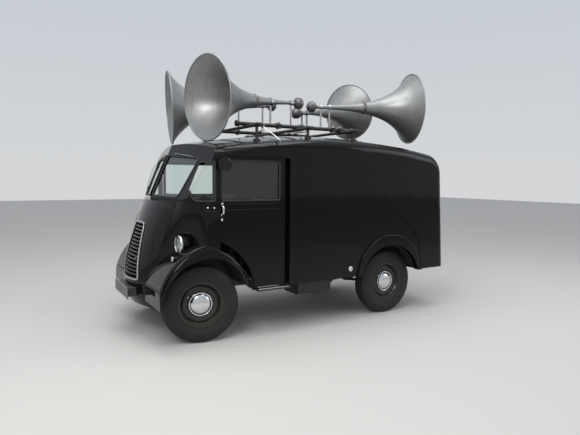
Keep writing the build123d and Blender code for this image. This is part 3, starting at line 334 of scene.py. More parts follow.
def laid_bead(name, points, surface, width, rise, sides=7):
    """Half-round bead laid on a surface along points near it."""
    line = smoothed(resampled(points, BEAD_STEP), 3)
    seats = [surface.find_nearest(p)[:2] for p in line]
    last = len(seats) - 1
    verts = []
    for i, (at, normal) in enumerate(seats):
        along = (seats[min(i + 1, last)][0] - seats[max(i - 1, 0)][0]).normalized()
        side = along.cross(normal).normalized()
        for k in range(sides):
            angle = math.pi * k / (sides - 1)
            lift = math.sin(angle) * rise - rise * BEAD_SUNK
            verts.append(at + side * math.cos(angle) * width / 2 + normal * lift)
    return mesh_object(name, verts, ring_faces(len(seats), sides, capped=True))


def finish_piece(obj, material, body):
    """Material and body of a piece that the scene adds."""
    obj.data.materials.clear()
    obj.data.materials.append(material)
    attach(obj, body)
    return obj


cab_surface = surface_of("cab_front", "nose_panel", "front_wing_left", "front_wing_right")
# columns: name, width, rise, points ahead of the front axle, out and up
CREASES = [
    ("bonnet_edge", 0.014, 0.006, [
        (0.291, 0.0, 1.277), (0.291, 0.094, 1.275), (0.269, 0.287, 1.267), (0.238, 0.436, 1.246),
        (0.221, 0.501, 1.230), (0.209, 0.542, 1.214)]),
    ("nose_ridge", 0.013, 0.006, [
        (0.182, 0.556, 1.278), (0.252, 0.523, 1.096), (0.311, 0.491, 0.90), (0.355, 0.451, 0.66),
        (0.369, 0.439, 0.40)]),
    ("nose_crease", 0.011, 0.005, [
        (0.350, 0.0, 1.160), (0.337, 0.138, 1.155), (0.316, 0.313, 1.128), (0.316, 0.335, 1.111),
        (0.329, 0.355, 1.05), (0.349, 0.366, 0.965), (0.369, 0.389, 0.838)]),
]
for label, width, rise, points in CREASES:
    for side_name, hand in HANDS:
        line = [(FRONT_AXLE_X + x, hand * y, z) for x, y, z in points]
        bead = laid_bead(f"{label}_{side_name}", line, cab_surface, width, rise)
        finish_piece(bead, coach_black, "root")

ROOF_JOINTS_BACK = (0.735, 2.36)
ROOF_JOINT_HALF, ROOF_JOINT_STEPS = 0.85, 40
ROOF_JOINT_WIDE, ROOF_JOINT_RISE = 0.014, 0.0035
ROOF_Z, ROOF_HALF, ROOF_FALL = 1.99, 0.87, 0.153
roof_surface = surface_of("roof_panel")
across = [ROOF_JOINT_HALF * (2 * k / ROOF_JOINT_STEPS - 1) for k in range(ROOF_JOINT_STEPS + 1)]
for i, back in enumerate(ROOF_JOINTS_BACK):
    line = [(FRONT_AXLE_X - back, y, ROOF_Z - ROOF_FALL * (y / ROOF_HALF) ** 4) for y in across]
    bead = laid_bead(f"roof_joint_{i + 1}", line, roof_surface, ROOF_JOINT_WIDE, ROOF_JOINT_RISE)
    finish_piece(bead, coach_black, "root")

# columns: name, up on the door, up on the cab, width
WAIST_LINES = (("waist_high", 1.2715, 1.284, 0.009), ("waist_low", 1.2195, 1.212, 0.008))
DOOR_FACE, CAB_FACE = 0.838, 0.86
DOOR_RISE, CAB_RISE = 0.0022, 0.0045
DOOR_RUN, CAB_RUN = (-0.180, -0.45, -0.735), (-0.095, -0.03, 0.045)
door_surface = surface_of("door_left", "door_right")
for label, door_z, cab_z, width in WAIST_LINES:
    for side_name, hand in HANDS:
        line = [(FRONT_AXLE_X + x, hand * DOOR_FACE, door_z) for x in DOOR_RUN]
        bead = laid_bead(f"{label}_{side_name}", line, door_surface, width, DOOR_RISE)
        finish_piece(bead, coach_black, f"door_{side_name}")
        line = [(FRONT_AXLE_X + x, hand * CAB_FACE, cab_z) for x in CAB_RUN]
        bead = laid_bead(f"cab_{label}_{side_name}", line, cab_surface, width, CAB_RISE)
        finish_piece(bead, coach_black, "root")

# Window glass
# Flat toughened panes in the screen and doors and gently bowed ones in the corners
# and tail, clear with a faint green in their thickness and a light smear.
clear_glass, tree, shader, where = surfaced("clear_glass", {
    "Base Color": (0.86, 0.92, 0.90, 1), "Transmission Weight": 1.0, "IOR": 1.45})
feed(tree, shader.inputs["Roughness"], uneven(tree, where, (5.0, 3.0, 0.6), (0.45, 0.8), (0.0, 0.02)))
dress(clear_glass, "windscreen_glass", "quarter_glass", "door_glass_left", "door_glass_right",
      "rear_glass_left", "rear_glass_right")

# Window rubbers
# A black rubber section is pressed round each pane, and its lip stands a little
# proud of the paint. The two screen panes share a bar on the middle line, and a
# hollow rubber strip on the back edge of each cab door keeps out the draught.
SEAL_R = 0.008
SCREEN_TOP = (0.086, 1.744)
SCREEN_FOOT = (0.268, 1.325)
SCREEN_SWEEP = 10.5
SCREEN_TAN = math.tan(math.radians(SCREEN_SWEEP))
SCREEN_RAKE = (SCREEN_FOOT[0] - SCREEN_TOP[0]) / (SCREEN_TOP[1] - SCREEN_FOOT[1])

seal_rubber = coated(
    "seal_rubber", ((30.0, 4.0, 0.6), (0.010, 0.010, 0.010, 1), (0.022, 0.021, 0.020, 1)),
    0.55, dust=0.10, relief=((220.0, 2.0, 0.5), 0.15, 0.0004))


def tube(name, points, radius, closed=False, sides=10, flat=1.0, flat_way=UPWARD):
    """Round or flattened tube along points; flat is its height as a share of its width."""
    points = [Vector(p) for p in points]
    count = len(points)
    verts = []
    for i, at in enumerate(points):
        after = points[(i + 1) % count] if closed else points[min(i + 1, count - 1)]
        before = points[i - 1] if closed or i else at
        along = (after - before).normalized()
        side = along.cross(flat_way)
        if side.length < 0.05:
            side = along.cross(AHEAD)
        side.normalize()
        rise = side.cross(along).normalized()
        for k in range(sides):
            angle = math.tau * k / sides
            verts.append(at + side * math.cos(angle) * radius + rise * math.sin(angle) * radius * flat)
    return mesh_object(name, verts, ring_faces(count, sides, joined=closed, capped=not closed))


def round_corners(corners, radius, steps):
    """A closed outline in the plane with each corner rounded."""
    made = []
    for i, corner in enumerate(corners):
        at = Vector(corner)
        before, after = Vector(corners[i - 1]), Vector(corners[(i + 1) % len(corners)])
        reach = min(radius, (before - at).length * 0.45, (after - at).length * 0.45)
        start, end = at + (before - at).normalized() * reach, at + (after - at).normalized() * reach
        for k in range(steps + 1):
            t = k / steps
            made.append(start * (1 - t) ** 2 + at * 2 * t * (1 - t) + end * t ** 2)
    return made


def on_screen(y, z, hand, out=0.0):
    x = SCREEN_FOOT[0] - SCREEN_RAKE * (z - SCREEN_FOOT[1]) - SCREEN_TAN * y + out
    return (FRONT_AXLE_X + x, hand * y, z)


def pane_corners(glass, across):
    """Corners of a pane's box, across along one axis and up."""
    low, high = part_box(glass)
    return [(low[across], low[2]), (high[across], low[2]), (high[across], high[2]), (low[across], high[2])]


SCREEN_PANE = [(0.022, 1.331), (0.532, 1.323), (0.634, 1.686), (0.022, 1.728)]
SCREEN_CORNER = 0.035
BAR_Z = (1.327, 1.53, 1.732)
BAR_R, BAR_FLAT, BAR_OUT = 0.014, 0.35, 0.004
for side_name, hand in HANDS:
    outline = round_corners(SCREEN_PANE, SCREEN_CORNER, 6)
    seal = tube(f"screen_rubber_{side_name}", [on_screen(p.x, p.y, hand) for p in outline], SEAL_R, True)
    finish_piece(seal, seal_rubber, "root")
bar_points = [on_screen(0, z, 1, BAR_OUT) for z in BAR_Z]
centre_bar = tube("screen_centre_bar", bar_points, BAR_R, flat=BAR_FLAT, flat_way=LEFTWARD, sides=14)
finish_piece(centre_bar, coach_black, "root")

QUARTER_PANE = [(-0.066, 1.302), (0.083, 1.300), (0.108, 1.338), (0.110, 1.400), (0.002, 1.651),
                (-0.066, 1.652)]
QUARTER_CORNER, QUARTER_SEAL_R = 0.02, 0.0072
FAR_SIDE = 1.3
middle = Vector([sum(axis) / len(QUARTER_PANE) for axis in zip(*QUARTER_PANE)])
for side_name, hand in HANDS:
    seats = []
    for p in round_corners(QUARTER_PANE, QUARTER_CORNER, 4):
        past = p + (p - middle).normalized() * SEAL_R
        start = Vector((FRONT_AXLE_X + past.x, hand * FAR_SIDE, past.y))
        hit = cab_surface.ray_cast(start, LEFTWARD * -hand)[0]
        seats.append((FRONT_AXLE_X + p.x, hit.y, p.y))
    seal = tube(f"quarter_rubber_{side_name}", seats, QUARTER_SEAL_R, True)
    finish_piece(seal, seal_rubber, "root")

DOOR_SEAL_OUT, DOOR_SEAL_R, DOOR_CORNER = 0.009, 0.010, 0.02
for side_name, hand in HANDS:
    low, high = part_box(f"door_glass_{side_name}")
    face_y = max(abs(low[1]), abs(high[1])) + DOOR_SEAL_OUT
    outline = round_corners(pane_corners(f"door_glass_{side_name}", 0), DOOR_CORNER, 4)
    points = [(p.x, hand * face_y, p.y) for p in outline]
    seal = tube(f"door_rubber_{side_name}", points, DOOR_SEAL_R, True, flat=0.6, flat_way=LEFTWARD)
    finish_piece(seal, seal_rubber, f"door_{side_name}")

STRIP_X, STRIP_Y, STRIP_R = 0.3785, 0.8293, 0.0106
STRIP_FOOT, STRIP_TOP = 0.492, 1.688
for side_name, hand in HANDS:
    points = resampled([(STRIP_X, hand * STRIP_Y, z) for z in (STRIP_FOOT, STRIP_TOP)], 0.05)
    strip = tube(f"draught_strip_{side_name}", points, STRIP_R, sides=14, flat=0.45, flat_way=AHEAD)
    finish_piece(strip, seal_rubber, f"door_{side_name}")

TAIL_SEAL_OUT, TAIL_CORNER = 0.012, 0.03
BEHIND_TAIL_X = -3.0
tail_surface = surface_of("rear_door_left", "rear_door_right")
for side_name, hand in HANDS:
    low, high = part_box(f"rear_glass_{side_name}")
    pane_middle = (low[1] + high[1]) / 2
    points = []
    for p in round_corners(pane_corners(f"rear_glass_{side_name}", 1), TAIL_CORNER, 5):
        start = Vector((BEHIND_TAIL_X, p.x + math.copysign(TAIL_SEAL_OUT, p.x - pane_middle), p.y))
        hit = tail_surface.ray_cast(start, AHEAD)[0]
        points.append((hit.x - 0.001 if hit else low[0], p.x, p.y))
    seal = tube(f"rear_rubber_{side_name}", points, SEAL_R, True, flat_way=AHEAD)
    finish_piece(seal, seal_rubber, f"rear_door_{side_name}")

# Radiator grille
# A pressed surround in silver paint and dark slats are riveted into the nose. Behind
# them stands the radiator: upright tubes through fine fins, painted dull black.
silver_paint = coated(
    "silver_paint", ((60.0, 4.0, 0.6), (0.40, 0.41, 0.42, 1), (0.50, 0.51, 0.52, 1)),
    ((25.0, 3.0, 0.5), (0.3, 0.8), (0.24, 0.42)), dust=0.45, sockets={"Metallic": 0.75})
slat_paint = coated(
    "slat_paint", ((45.0, 4.0, 0.6), (0.045, 0.046, 0.048, 1), (0.085, 0.086, 0.088, 1)),
    ((25.0, 3.0, 0.5), (0.3, 0.8), (0.26, 0.44)), dust=0.25, sockets={"Metallic": 0.7})
dress(slat_paint, "grille")

chassis_paint, tree, shader, where = surfaced("chassis_paint")
old_black = two_tone(tree, where, (14.0, 5.0, 0.6), (0.011, 0.011, 0.011, 1), (0.024, 0.022, 0.019, 1))
rust_spots = uneven(tree, where, (21.0, 8.0, 0.7), (0.62, 0.72), (0.0, 0.8))
spotted = mix_colour(tree, rust_spots, old_black, (0.060, 0.024, 0.010, 1))
dusty(tree, shader, spotted, 0.5, 0.22)
bumped(tree, shader, noise(tree, where, 160.0, 4.0, 0.6), 0.25, 0.0006)


def spokes(axis, count):
    """Unit directions all the way round an axis."""
    first = axis.orthogonal().normalized()
    second = axis.cross(first)
    turns = [math.tau * k / count for k in range(count)]
    return [first * math.cos(turn) + second * math.sin(turn) for turn in turns]


def block(low, high, bevel):
    """Verts and faces of a block with all its edges bevelled."""
    mesh = bmesh.new()
    bmesh.ops.create_cube(mesh, size=1.0)
    size = Vector(high) - Vector(low)
    middle = (Vector(high) + Vector(low)) / 2
    for v in mesh.verts:
        v.co = v.co * size + middle
    bmesh.ops.bevel(mesh, geom=list(mesh.edges) + list(mesh.verts), offset=bevel, segments=2, affect="EDGES")
    mesh.verts.index_update()
    verts = [v.co.copy() for v in mesh.verts]
    faces = [tuple(v.index for v in f.verts) for f in mesh.faces]
    mesh.free()
    return verts, faces


def assembled(name, parts, smooth=False):
    """One object from several (verts, faces) parts."""
    verts = []
    faces = []
    for part_verts, part_faces in parts:
        start = len(verts)
        verts += part_verts
        faces += [tuple(start + i for i in face) for face in part_faces]
    return mesh_object(name, verts, faces, smooth)


def turned_head(at, axis, levels, sides, tip=None):
    """Verts and faces of a bolt or rivet head from its (height, radius) levels."""
    at, axis = Vector(at), Vector(axis).normalized()
    around = spokes(axis, sides)
    verts = [at + axis * up_by + way * radius for up_by, radius in levels for way in around]
    faces = ring_faces(len(levels), sides, capped=tip is None)
    if tip is not None:
        last = len(verts) - sides
        verts.append(at + axis * tip)
        faces += [(last + k, last + (k + 1) % sides, last + sides) for k in range(sides)]
    return verts, faces


GRILLE_FOOT, GRILLE_TOP = (0.278, 0.530), (0.158, 1.085)
SURROUND_IN, SURROUND_CORNER = 0.0105, 0.045
SURROUND_WIDE, SURROUND_RISE = 0.020, 0.0055
NOSE_CLEAR_X = 2.2
foot_half, top_half = GRILLE_FOOT[0] - 0.013, GRILLE_TOP[0] - 0.009
foot_z, top_z = GRILLE_FOOT[1] + SURROUND_IN, GRILLE_TOP[1] - SURROUND_IN
corners = [(-foot_half, foot_z), (foot_half, foot_z), (top_half, top_z), (-top_half, top_z)]
outline = round_corners(corners, SURROUND_CORNER, 7)
grille_surface = surface_of("grille")
line = []
for p in resampled([*outline, outline[0]], BEAD_STEP):
    hit = grille_surface.ray_cast(Vector((NOSE_CLEAR_X, p.x, p.y)), -AHEAD)[0]
    if hit and (not line or (hit - line[-1]).length > 0.006):
        line.append(hit)
line.append(line[0])
surround = laid_bead("grille_surround", line, grille_surface, SURROUND_WIDE, SURROUND_RISE, sides=9)
finish_piece(surround, silver_paint, "root")

RIVETS_A_SIDE, RIVET_IN = 9, 0.011
RIVET_R, RIVET_HIGH, RIVET_LIFT = 0.0042, 0.0025, 0.0036
RIVET_LEVELS = [(-0.001, RIVET_R), (RIVET_HIGH * 0.55, RIVET_R * 0.85), (RIVET_HIGH * 0.9, RIVET_R * 0.5)]
rivets = []
for share in [0.06 + 0.11 * k for k in range(RIVETS_A_SIDE)]:
    half, z = Vector(GRILLE_FOOT).lerp(Vector(GRILLE_TOP), share)
    for y in (half - RIVET_IN, RIVET_IN - half):
        hit, normal = grille_surface.ray_cast(Vector((NOSE_CLEAR_X, y, z)), -AHEAD)[:2]
        if hit:
            rivets.append(turned_head(hit + normal * RIVET_LIFT, normal, RIVET_LEVELS, 12, RIVET_HIGH))
finish_piece(assembled("grille_rivets", rivets, True), silver_paint, "root")

CORE_FRONT = 1.535
CORE_BACK = 1.490
CORE_HALF = 0.20
CORE_FOOT, CORE_TOP = 0.575, 0.985
TUBE_PITCH, FIN_PITCH = 0.010, 0.004
FIN_WAVE, TUBE_PROUD = 0.0015, 0.004
FRAME_HALF = 0.012
core_parts = []
for y in (-CORE_HALF, CORE_HALF):
    core_parts.append(block((CORE_BACK, y - FRAME_HALF, CORE_FOOT - 0.03),
                            (CORE_FRONT + 0.004, y + FRAME_HALF, CORE_TOP + 0.03), 0.003))
for z in (CORE_FOOT - 0.02, CORE_TOP + 0.02):
    core_parts.append(block((CORE_BACK, -CORE_HALF - FRAME_HALF, z - 0.022),
                            (CORE_FRONT + 0.004, CORE_HALF + FRAME_HALF, z + 0.022), 0.004))
columns = int(2 * CORE_HALF / TUBE_PITCH) * 2
rows = int((CORE_TOP - CORE_FOOT) / FIN_PITCH)
fin_verts = []
for r in range(rows + 1):
    for c in range(columns + 1):
        proud = (TUBE_PROUD if c % 2 else 0.0) + (FIN_WAVE if r % 2 else -FIN_WAVE)
        fin_verts.append((CORE_FRONT - 0.006 + proud, -CORE_HALF + c * 2 * CORE_HALF / columns,
                          CORE_FOOT + r * FIN_PITCH))
core_parts.append((fin_verts, ring_faces(rows + 1, columns + 1, False)))
finish_piece(assembled("radiator_core", core_parts), chassis_paint, "root")

# Chrome fittings
# Lamp rims, hub caps, door handles and locks are steel plated with copper,
# nickel and chrome, bright with a few fine wipe marks.
chrome = coated("chrome", ((40.0, 4.0, 0.6), (0.72, 0.73, 0.75, 1), (0.62, 0.62, 0.62, 1)),
                ((90.0, 6.0, 0.7), (0.35, 0.8), (0.04, 0.16)), sockets={"Metallic": 1.0})

# Head and side lamps
# Black steel bowls welded to the cheeks and wings, each with a chrome rim screwed
# over a fluted glass, and behind the glass a silvered reflector and its bulb.
# columns: name, ahead of the axle, out, up, radius, depth
LAMP_SIZES = [("headlamp", 0.200, 0.650, 0.908, 0.084, 0.150),
              ("side_lamp", 0.290, 0.740, 0.796, 0.022, 0.070)]

fluted_glass, tree, shader, where = surfaced("fluted_glass", {
    "Base Color": (0.93, 0.95, 0.94, 1), "Transmission Weight": 1.0, "IOR": 1.42})
feed(tree, shader.inputs["Roughness"], uneven(tree, where, (30.0, 3.0, 0.5), (0.3, 0.8), (0.03, 0.12)))
flutes = node(tree, "TexWave", {"Vector": where, "Scale": 38.0}, bands_direction="Y")
bumped(tree, shader, flutes.outputs["Fac"], 0.35, 0.0015)
silvering = coated("silvering", ((50.0, 3.0, 0.5), (0.82, 0.83, 0.84, 1), (0.74, 0.74, 0.72, 1)), 0.10,
                   sockets={"Metallic": 1.0})
bulb_glass = coated("bulb_glass", ((80.0, 3.0, 0.5), (0.82, 0.76, 0.58, 1), (0.74, 0.70, 0.56, 1)), 0.25)


def lathe(name, profile, at, axis, segments=64):
    """Profile of (along, radius) points turned about an axis; radius 0 closes it."""
    at, axis = Vector(at), Vector(axis).normalized()
    around = spokes(axis, segments)
    verts = []
    rings = []
    for along, radius in profile:
        centre = at + axis * along
        if radius < 1e-6:
            rings.append([len(verts)] * segments)
            verts.append(centre)
        else:
            rings.append(list(range(len(verts), len(verts) + segments)))
            verts += [centre + way * radius for way in around]
    faces = []
    for a, b in zip(rings[:-1], rings[1:]):
        for k in range(segments):
            m = (k + 1) % segments
            corners = [a[k], a[m], b[m], b[k]]
            faces.append(tuple(v for i, v in enumerate(corners) if v != corners[i - 1]))
    return mesh_object(name, verts, faces)


def bead_ring(name, along, radius, thick, at, axis, segments):
    """A round wire bent into a ring about an axis."""
    turns = [math.tau * k / 10 for k in range(11)]
    profile = [(along + thick * math.cos(turn), radius + thick * math.sin(turn)) for turn in turns]
    return lathe(name, profile, at, axis, segments)


def lamp_bowl(name, at, radius, depth, surface, segments=48, steps=9):
    """Bowl from the rim back to where it meets the bodywork."""
    back = radius * 0.15
    full = []
    for i in range(41):
        t = i / 40
        full.append((-back - (depth - back) * t, radius * math.sqrt(max(0.0, 1 - (t * 0.97) ** 2.2))))
    verts = []
    for k in range(segments):
        angle = math.tau * k / segments
        line = [Vector((at.x + b, at.y + r * math.cos(angle), at.z + r * math.sin(angle))) for b, r in full]
        kept = [line[0]]
        for p, q in zip(line[:-1], line[1:]):
            way = (q - p).normalized()
            hit = surface.ray_cast(p, way, (q - p).length)[0]
            if hit:
                kept.append(hit + way * 0.004)
                break
            kept.append(q)
        for s in range(steps):
            place = s * (len(kept) - 1) / (steps - 1)
            low = min(int(place), len(kept) - 2)
            verts.append(kept[low].lerp(kept[low + 1], place - low))
    return mesh_object(name, verts, ring_faces(segments, steps, False, joined=True))


# profiles as shares of the lamp's radius: along the lamp, out from its middle
RIM = [(-0.20, 1.0), (-0.16, 1.05), (-0.05, 1.08), (0.05, 1.05), (0.13, 0.98), (0.15, 0.93), (0.10, 0.90),
       (-0.05, 0.89)]
INWARD = [s / 10 for s in range(10, -1, -1)]
DOME = [(0.08 + 0.17 * (1 - t ** 2), 0.91 * t) for t in INWARD]
GLASS = DOME + [(along - 0.05, out) for along, out in reversed(DOME)]
DISH = [(-0.42 + 0.44 * t ** 2, 0.88 * t) for t in INWARD]
BULB = [(-0.42, 0.08), (-0.28, 0.12), (-0.18, 0.10), (-0.12, 0.05), (-0.10, 0.0)]
TURNED_PARTS = [("rim", RIM, 64, chrome, "chrome"), ("glass", GLASS, 64, fluted_glass, "window_glass"),
                ("reflector", DISH, 64, silvering, "chrome"), ("bulb", BULB, 24, bulb_glass, "window_glass")]
SCREW_LOW, SCREW_HIGH = Vector((-0.02, -0.05, -1.14)), Vector((0.12, 0.05, -1.00))
for label, ahead, out, up_z, radius, depth in LAMP_SIZES:
    for side_name, hand in HANDS:
        at = Vector((FRONT_AXLE_X + ahead, hand * out, up_z))
        bowl = lamp_bowl(f"{label}_bowl_{side_name}", at, radius, depth, cab_surface)
        pieces = [finish_piece(bowl, coach_black, "root")]
        for part, shares, segments, material, slot in TURNED_PARTS:
            profile = [(along * radius, spread * radius) for along, spread in shares]
            turned = lathe(f"{label}_{part}_{side_name}", profile, at, AHEAD, segments)
            pieces.append(finish_piece(turned, material, "root"))
        screw = block(at + SCREW_LOW * radius, at + SCREW_HIGH * radius, radius * 0.02)
        clamp = assembled(f"{label}_rim_screw_{side_name}", [screw])
        pieces.append(finish_piece(clamp, chrome, "root"))
        for piece in pieces:
            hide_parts(f"{label}s")

# Blank number plates
# Pressed alloy plates with a raised rim, black at the front and the back, and
# left blank, each held to its bracket by two bolts.
plate_black = coated(
    "plate_black", ((25.0, 4.0, 0.6), (0.012, 0.012, 0.013, 1), (0.020, 0.020, 0.020, 1)), 0.28, dust=0.35)
dress(plate_black, "number_plates")
PLATE_FACE_X = LENGTH / 2 - 0.001
RIM_IN = 0.006


def hex_bolt(at, axis, across=0.013, high=0.008):
    """Verts and faces of a bolt head with its corners turned off."""
    corner = across / 2 / math.cos(math.pi / 6)
    return turned_head(at, axis, [(-0.001, corner), (high * 0.75, corner), (high, corner * 0.86)], 6)


for end_name, end in (("front", 1), ("rear", -1)):
    face = [v.co for v in nodes["number_plates"].data.vertices if v.co.x * end > PLATE_FACE_X - 0.001]
    wide = max(v.y for v in face) - RIM_IN
    foot, top = min(v.z for v in face) + RIM_IN, max(v.z for v in face) - RIM_IN
    outline = round_corners([(-wide, foot), (wide, foot), (wide, top), (-wide, top)], 0.010, 4)
    rim_line = [(end * PLATE_FACE_X, p.x, p.y) for p in outline]
    rim = tube(f"{end_name}_plate_rim", rim_line, 0.0035, True, flat_way=AHEAD)
    finish_piece(rim, silver_paint, "root")
    heads = [hex_bolt((end * PLATE_FACE_X, y, (foot + top) / 2), AHEAD * end, 0.012, 0.004)
             for y in (-wide * 0.72, wide * 0.72)]
    finish_piece(assembled(f"{end_name}_plate_bolts", heads), silver_paint, "root")

# Tyres
# Cross-ply tyres in black rubber, moulded with zigzag grooves round the tread,
# cross cuts at its shoulders and fine ribs round the walls.
TYRE_R = 0.355
TREAD_HALF = 0.052
TREAD_BOW = 0.0055
ZIGZAG = 0.0028
GROOVES = (-0.036, -0.013, 0.013, 0.036)
GROOVE_DEEP, GROOVE_LIP, GROOVE_FLOOR = 0.007, 0.0035, 0.0022
CUT_DEEP, CUT_FROM_R, CUT_FROM_OUT = 0.004, 0.340, 0.044
TYRE_STEPS = 240
# columns: outward, radius
TYRE_WALL = [(0.0540, 0.2022), (0.0600, 0.2060), (0.0640, 0.2130), (0.0655, 0.2180), (0.0640, 0.2195),
             (0.0690, 0.2300), (0.0735, 0.2450), (0.0770, 0.2620), (0.0785, 0.2700), (0.0800, 0.2715),
             (0.0800, 0.2745), (0.0788, 0.2760), (0.0797, 0.2880), (0.0790, 0.3000), (0.0778, 0.3015),
             (0.0785, 0.3045), (0.0772, 0.3070), (0.0750, 0.3180), (0.0715, 0.3300), (0.0672, 0.3370),
             (0.0640, 0.3400), (0.0590, 0.3455), (0.0550, 0.3495)]

tyre_rubber = coated(
    "tyre_rubber", ((12.0, 5.0, 0.6), (0.010, 0.010, 0.010, 1), (0.020, 0.019, 0.018, 1)),
    ((45.0, 4.0, 0.6), (0.3, 0.7), (0.46, 0.66)), dust=0.13, relief=((260.0, 3.0, 0.6), 0.2, 0.0004),
    sockets={"Specular IOR Level": 0.26})


def crown(out):
    """Tread radius across the tyre."""
    return TYRE_R - TREAD_BOW * (out / TREAD_HALF) ** 2


tread = [(-TREAD_HALF, crown(-TREAD_HALF))]
for groove in GROOVES:
    inner, outer = groove - GROOVE_LIP, groove + GROOVE_LIP
    foot = crown(groove) - GROOVE_DEEP
    tread += [(inner, crown(inner)), (groove - GROOVE_FLOOR, foot), (groove + GROOVE_FLOOR, foot),
              (outer, crown(outer))]
tread.append((TREAD_HALF, crown(TREAD_HALF)))
TYRE_PROFILE = [(out, radius, False) for out, radius in TYRE_WALL]
TYRE_PROFILE += [(-out, radius, True) for out, radius in tread]
TYRE_PROFILE += [(-out, radius, False) for out, radius in reversed(TYRE_WALL)]


def tyre(name, at, axis):
    at, axis = Vector(at), Vector(axis).normalized()
    verts = []
    for k, spoke in enumerate(spokes(axis, TYRE_STEPS)):
        shift = ZIGZAG * (abs((k % 8) - 4) / 2 - 1)
        cut = CUT_DEEP if k % 6 == 0 else 0.0
        for out, radius, on_tread in TYRE_PROFILE:
            sway = shift if on_tread and abs(out) < TREAD_HALF - 0.002 else 0.0
            shoulder = cut if radius > CUT_FROM_R and abs(out) > CUT_FROM_OUT else 0.0
            verts.append(at + axis * (out + sway) + spoke * (radius - shoulder))
    return mesh_object(name, verts, ring_faces(TYRE_STEPS, len(TYRE_PROFILE), False, joined=True))


joints = {row["name"]: row for row in frame["record"]["behaviour"]["joints"]}
wheels = []
for end_name in ("front", "rear"):
    for side_name, hand in HANDS:
        row = joints[f"{end_name}_wheel_spin_{side_name}"]
        wheels.append((f"{end_name}_{side_name}", Vector(row["pos_m"]), Vector(row["axis"]) * hand))
for corner, at, axis in wheels:
    made = tyre(f"tyre_{corner}_tread", at, axis)
    finish_piece(made, tyre_rubber, f"wheel_{corner}")
    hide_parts(f"tyre_{corner}")

# Wheels and hub caps
# Pressed steel disc wheels in black, each with a domed chrome cap snapped over
# its nuts inside a beaded rim, and a rubber valve with a cap through the well.
# columns of the outlines: outward, radius
HUB_CAP = [(0.0385, 0.1085), (0.0415, 0.1075), (0.0430, 0.1040), (0.0420, 0.1000), (0.0405, 0.0975),
           (0.0420, 0.0955), (0.0480, 0.0905), (0.0560, 0.0800), (0.0625, 0.0670), (0.0670, 0.0520),
           (0.0700, 0.0350), (0.0715, 0.0170), (0.0720, 0.0)]
CAP_BEAD = (0.0405, 0.1065, 0.003)
STEM_R, VALVE_CAP_R = 0.0045, 0.0055
VALVE_LINE = [(0.030, 0.176), (0.048, 0.171), (0.060, 0.160), (0.066, 0.150)]
wheel_black = coated(
    "wheel_black", ((18.0, 4.0, 0.6), (0.006, 0.006, 0.006, 1), (0.012, 0.012, 0.011, 1)),
    0.22, dust=0.30, sockets={"Specular IOR Level": 0.38})
for corner, at, axis in wheels:
    body = f"wheel_{corner}"
    dress(wheel_black, body)
    finish_piece(lathe(f"hub_cap_{corner}", HUB_CAP, at, axis, 96), chrome, body)
    rim_bead = bead_ring(f"hub_cap_bead_{corner}", *CAP_BEAD, at, axis, 96)
    finish_piece(rim_bead, chrome, body)
    across = axis.cross(UPWARD).normalized()
    spoke = (UPWARD * 0.55 + across * 0.83).normalized()
    stem_line = [at + axis * out + spoke * radius for out, radius in VALVE_LINE]
    finish_piece(tube(f"valve_{corner}", stem_line, STEM_R), seal_rubber, body)
    tip = stem_line[-1]
    valve_cap = tube(f"valve_cap_{corner}", [tip, tip + axis * 0.006 - spoke * 0.012], VALVE_CAP_R)
    finish_piece(valve_cap, chrome, body)

# Door handles, locks and studs
# Each sliding door has an upright chrome pull on two feet with a round lock
# below it, and two small bolt heads hold the catch in the cab's side ahead of it.
HANDLE_X = FRONT_AXLE_X - 0.1415
HANDLE_FOOT, HANDLE_TOP = 1.176, 1.272
PULL_SUNK, PULL_PROUD, PULL_R = 0.004, 0.035, 0.0075
LOCK_Y, LOCK_Z = 0.835, 1.135
ROSE = [(-0.004, 0.014), (0.0015, 0.014), (0.003, 0.011), (0.0035, 0.0)]
BARREL = [(-0.006, 0.013), (0.004, 0.013), (0.0065, 0.010), (0.0065, 0.0055), (0.004, 0.005), (0.004, 0.0)]
STUD_R = 0.0085
STUD = [(-0.004, STUD_R), (0.002, STUD_R), (0.0045, STUD_R * 0.7), (0.0055, 0.0)]
for side_name, hand in HANDS:
    line = []
    for t in [s / 12 for s in range(13)]:
        out = DOOR_FACE - PULL_SUNK + PULL_PROUD * math.sin(math.pi * t) ** 0.35
        line.append((HANDLE_X, hand * out, HANDLE_FOOT + (HANDLE_TOP - HANDLE_FOOT) * t))
    pull = tube(f"door_pull_{side_name}", line, PULL_R, sides=16, flat=1.25, flat_way=AHEAD)
    finish_piece(pull, chrome, f"door_{side_name}")
    outward = LEFTWARD * hand
    # columns: name, profile, place
    fittings = [("pull_foot_rose", ROSE, (HANDLE_X, hand * DOOR_FACE, HANDLE_FOOT)),
                ("pull_top_rose", ROSE, (HANDLE_X, hand * DOOR_FACE, HANDLE_TOP)),
                ("lock", BARREL, (HANDLE_X + 0.004, hand * LOCK_Y, LOCK_Z))]
    for label, profile, at in fittings:
        turned = lathe(f"door_{label}_{side_name}", profile, at, outward, 32)
        finish_piece(turned, chrome, f"door_{side_name}")
    for i, (ahead, z) in enumerate(((-0.001, 1.244), (-0.057, 1.243))):
        start = Vector((FRONT_AXLE_X + ahead, hand * FAR_SIDE, z))
        seat, normal = cab_surface.ray_cast(start, -outward)[:2]
        stud = lathe(f"catch_bolt_{side_name}_{i + 1}", STUD, seat, normal, 20)
        finish_piece(stud, chrome, "root")

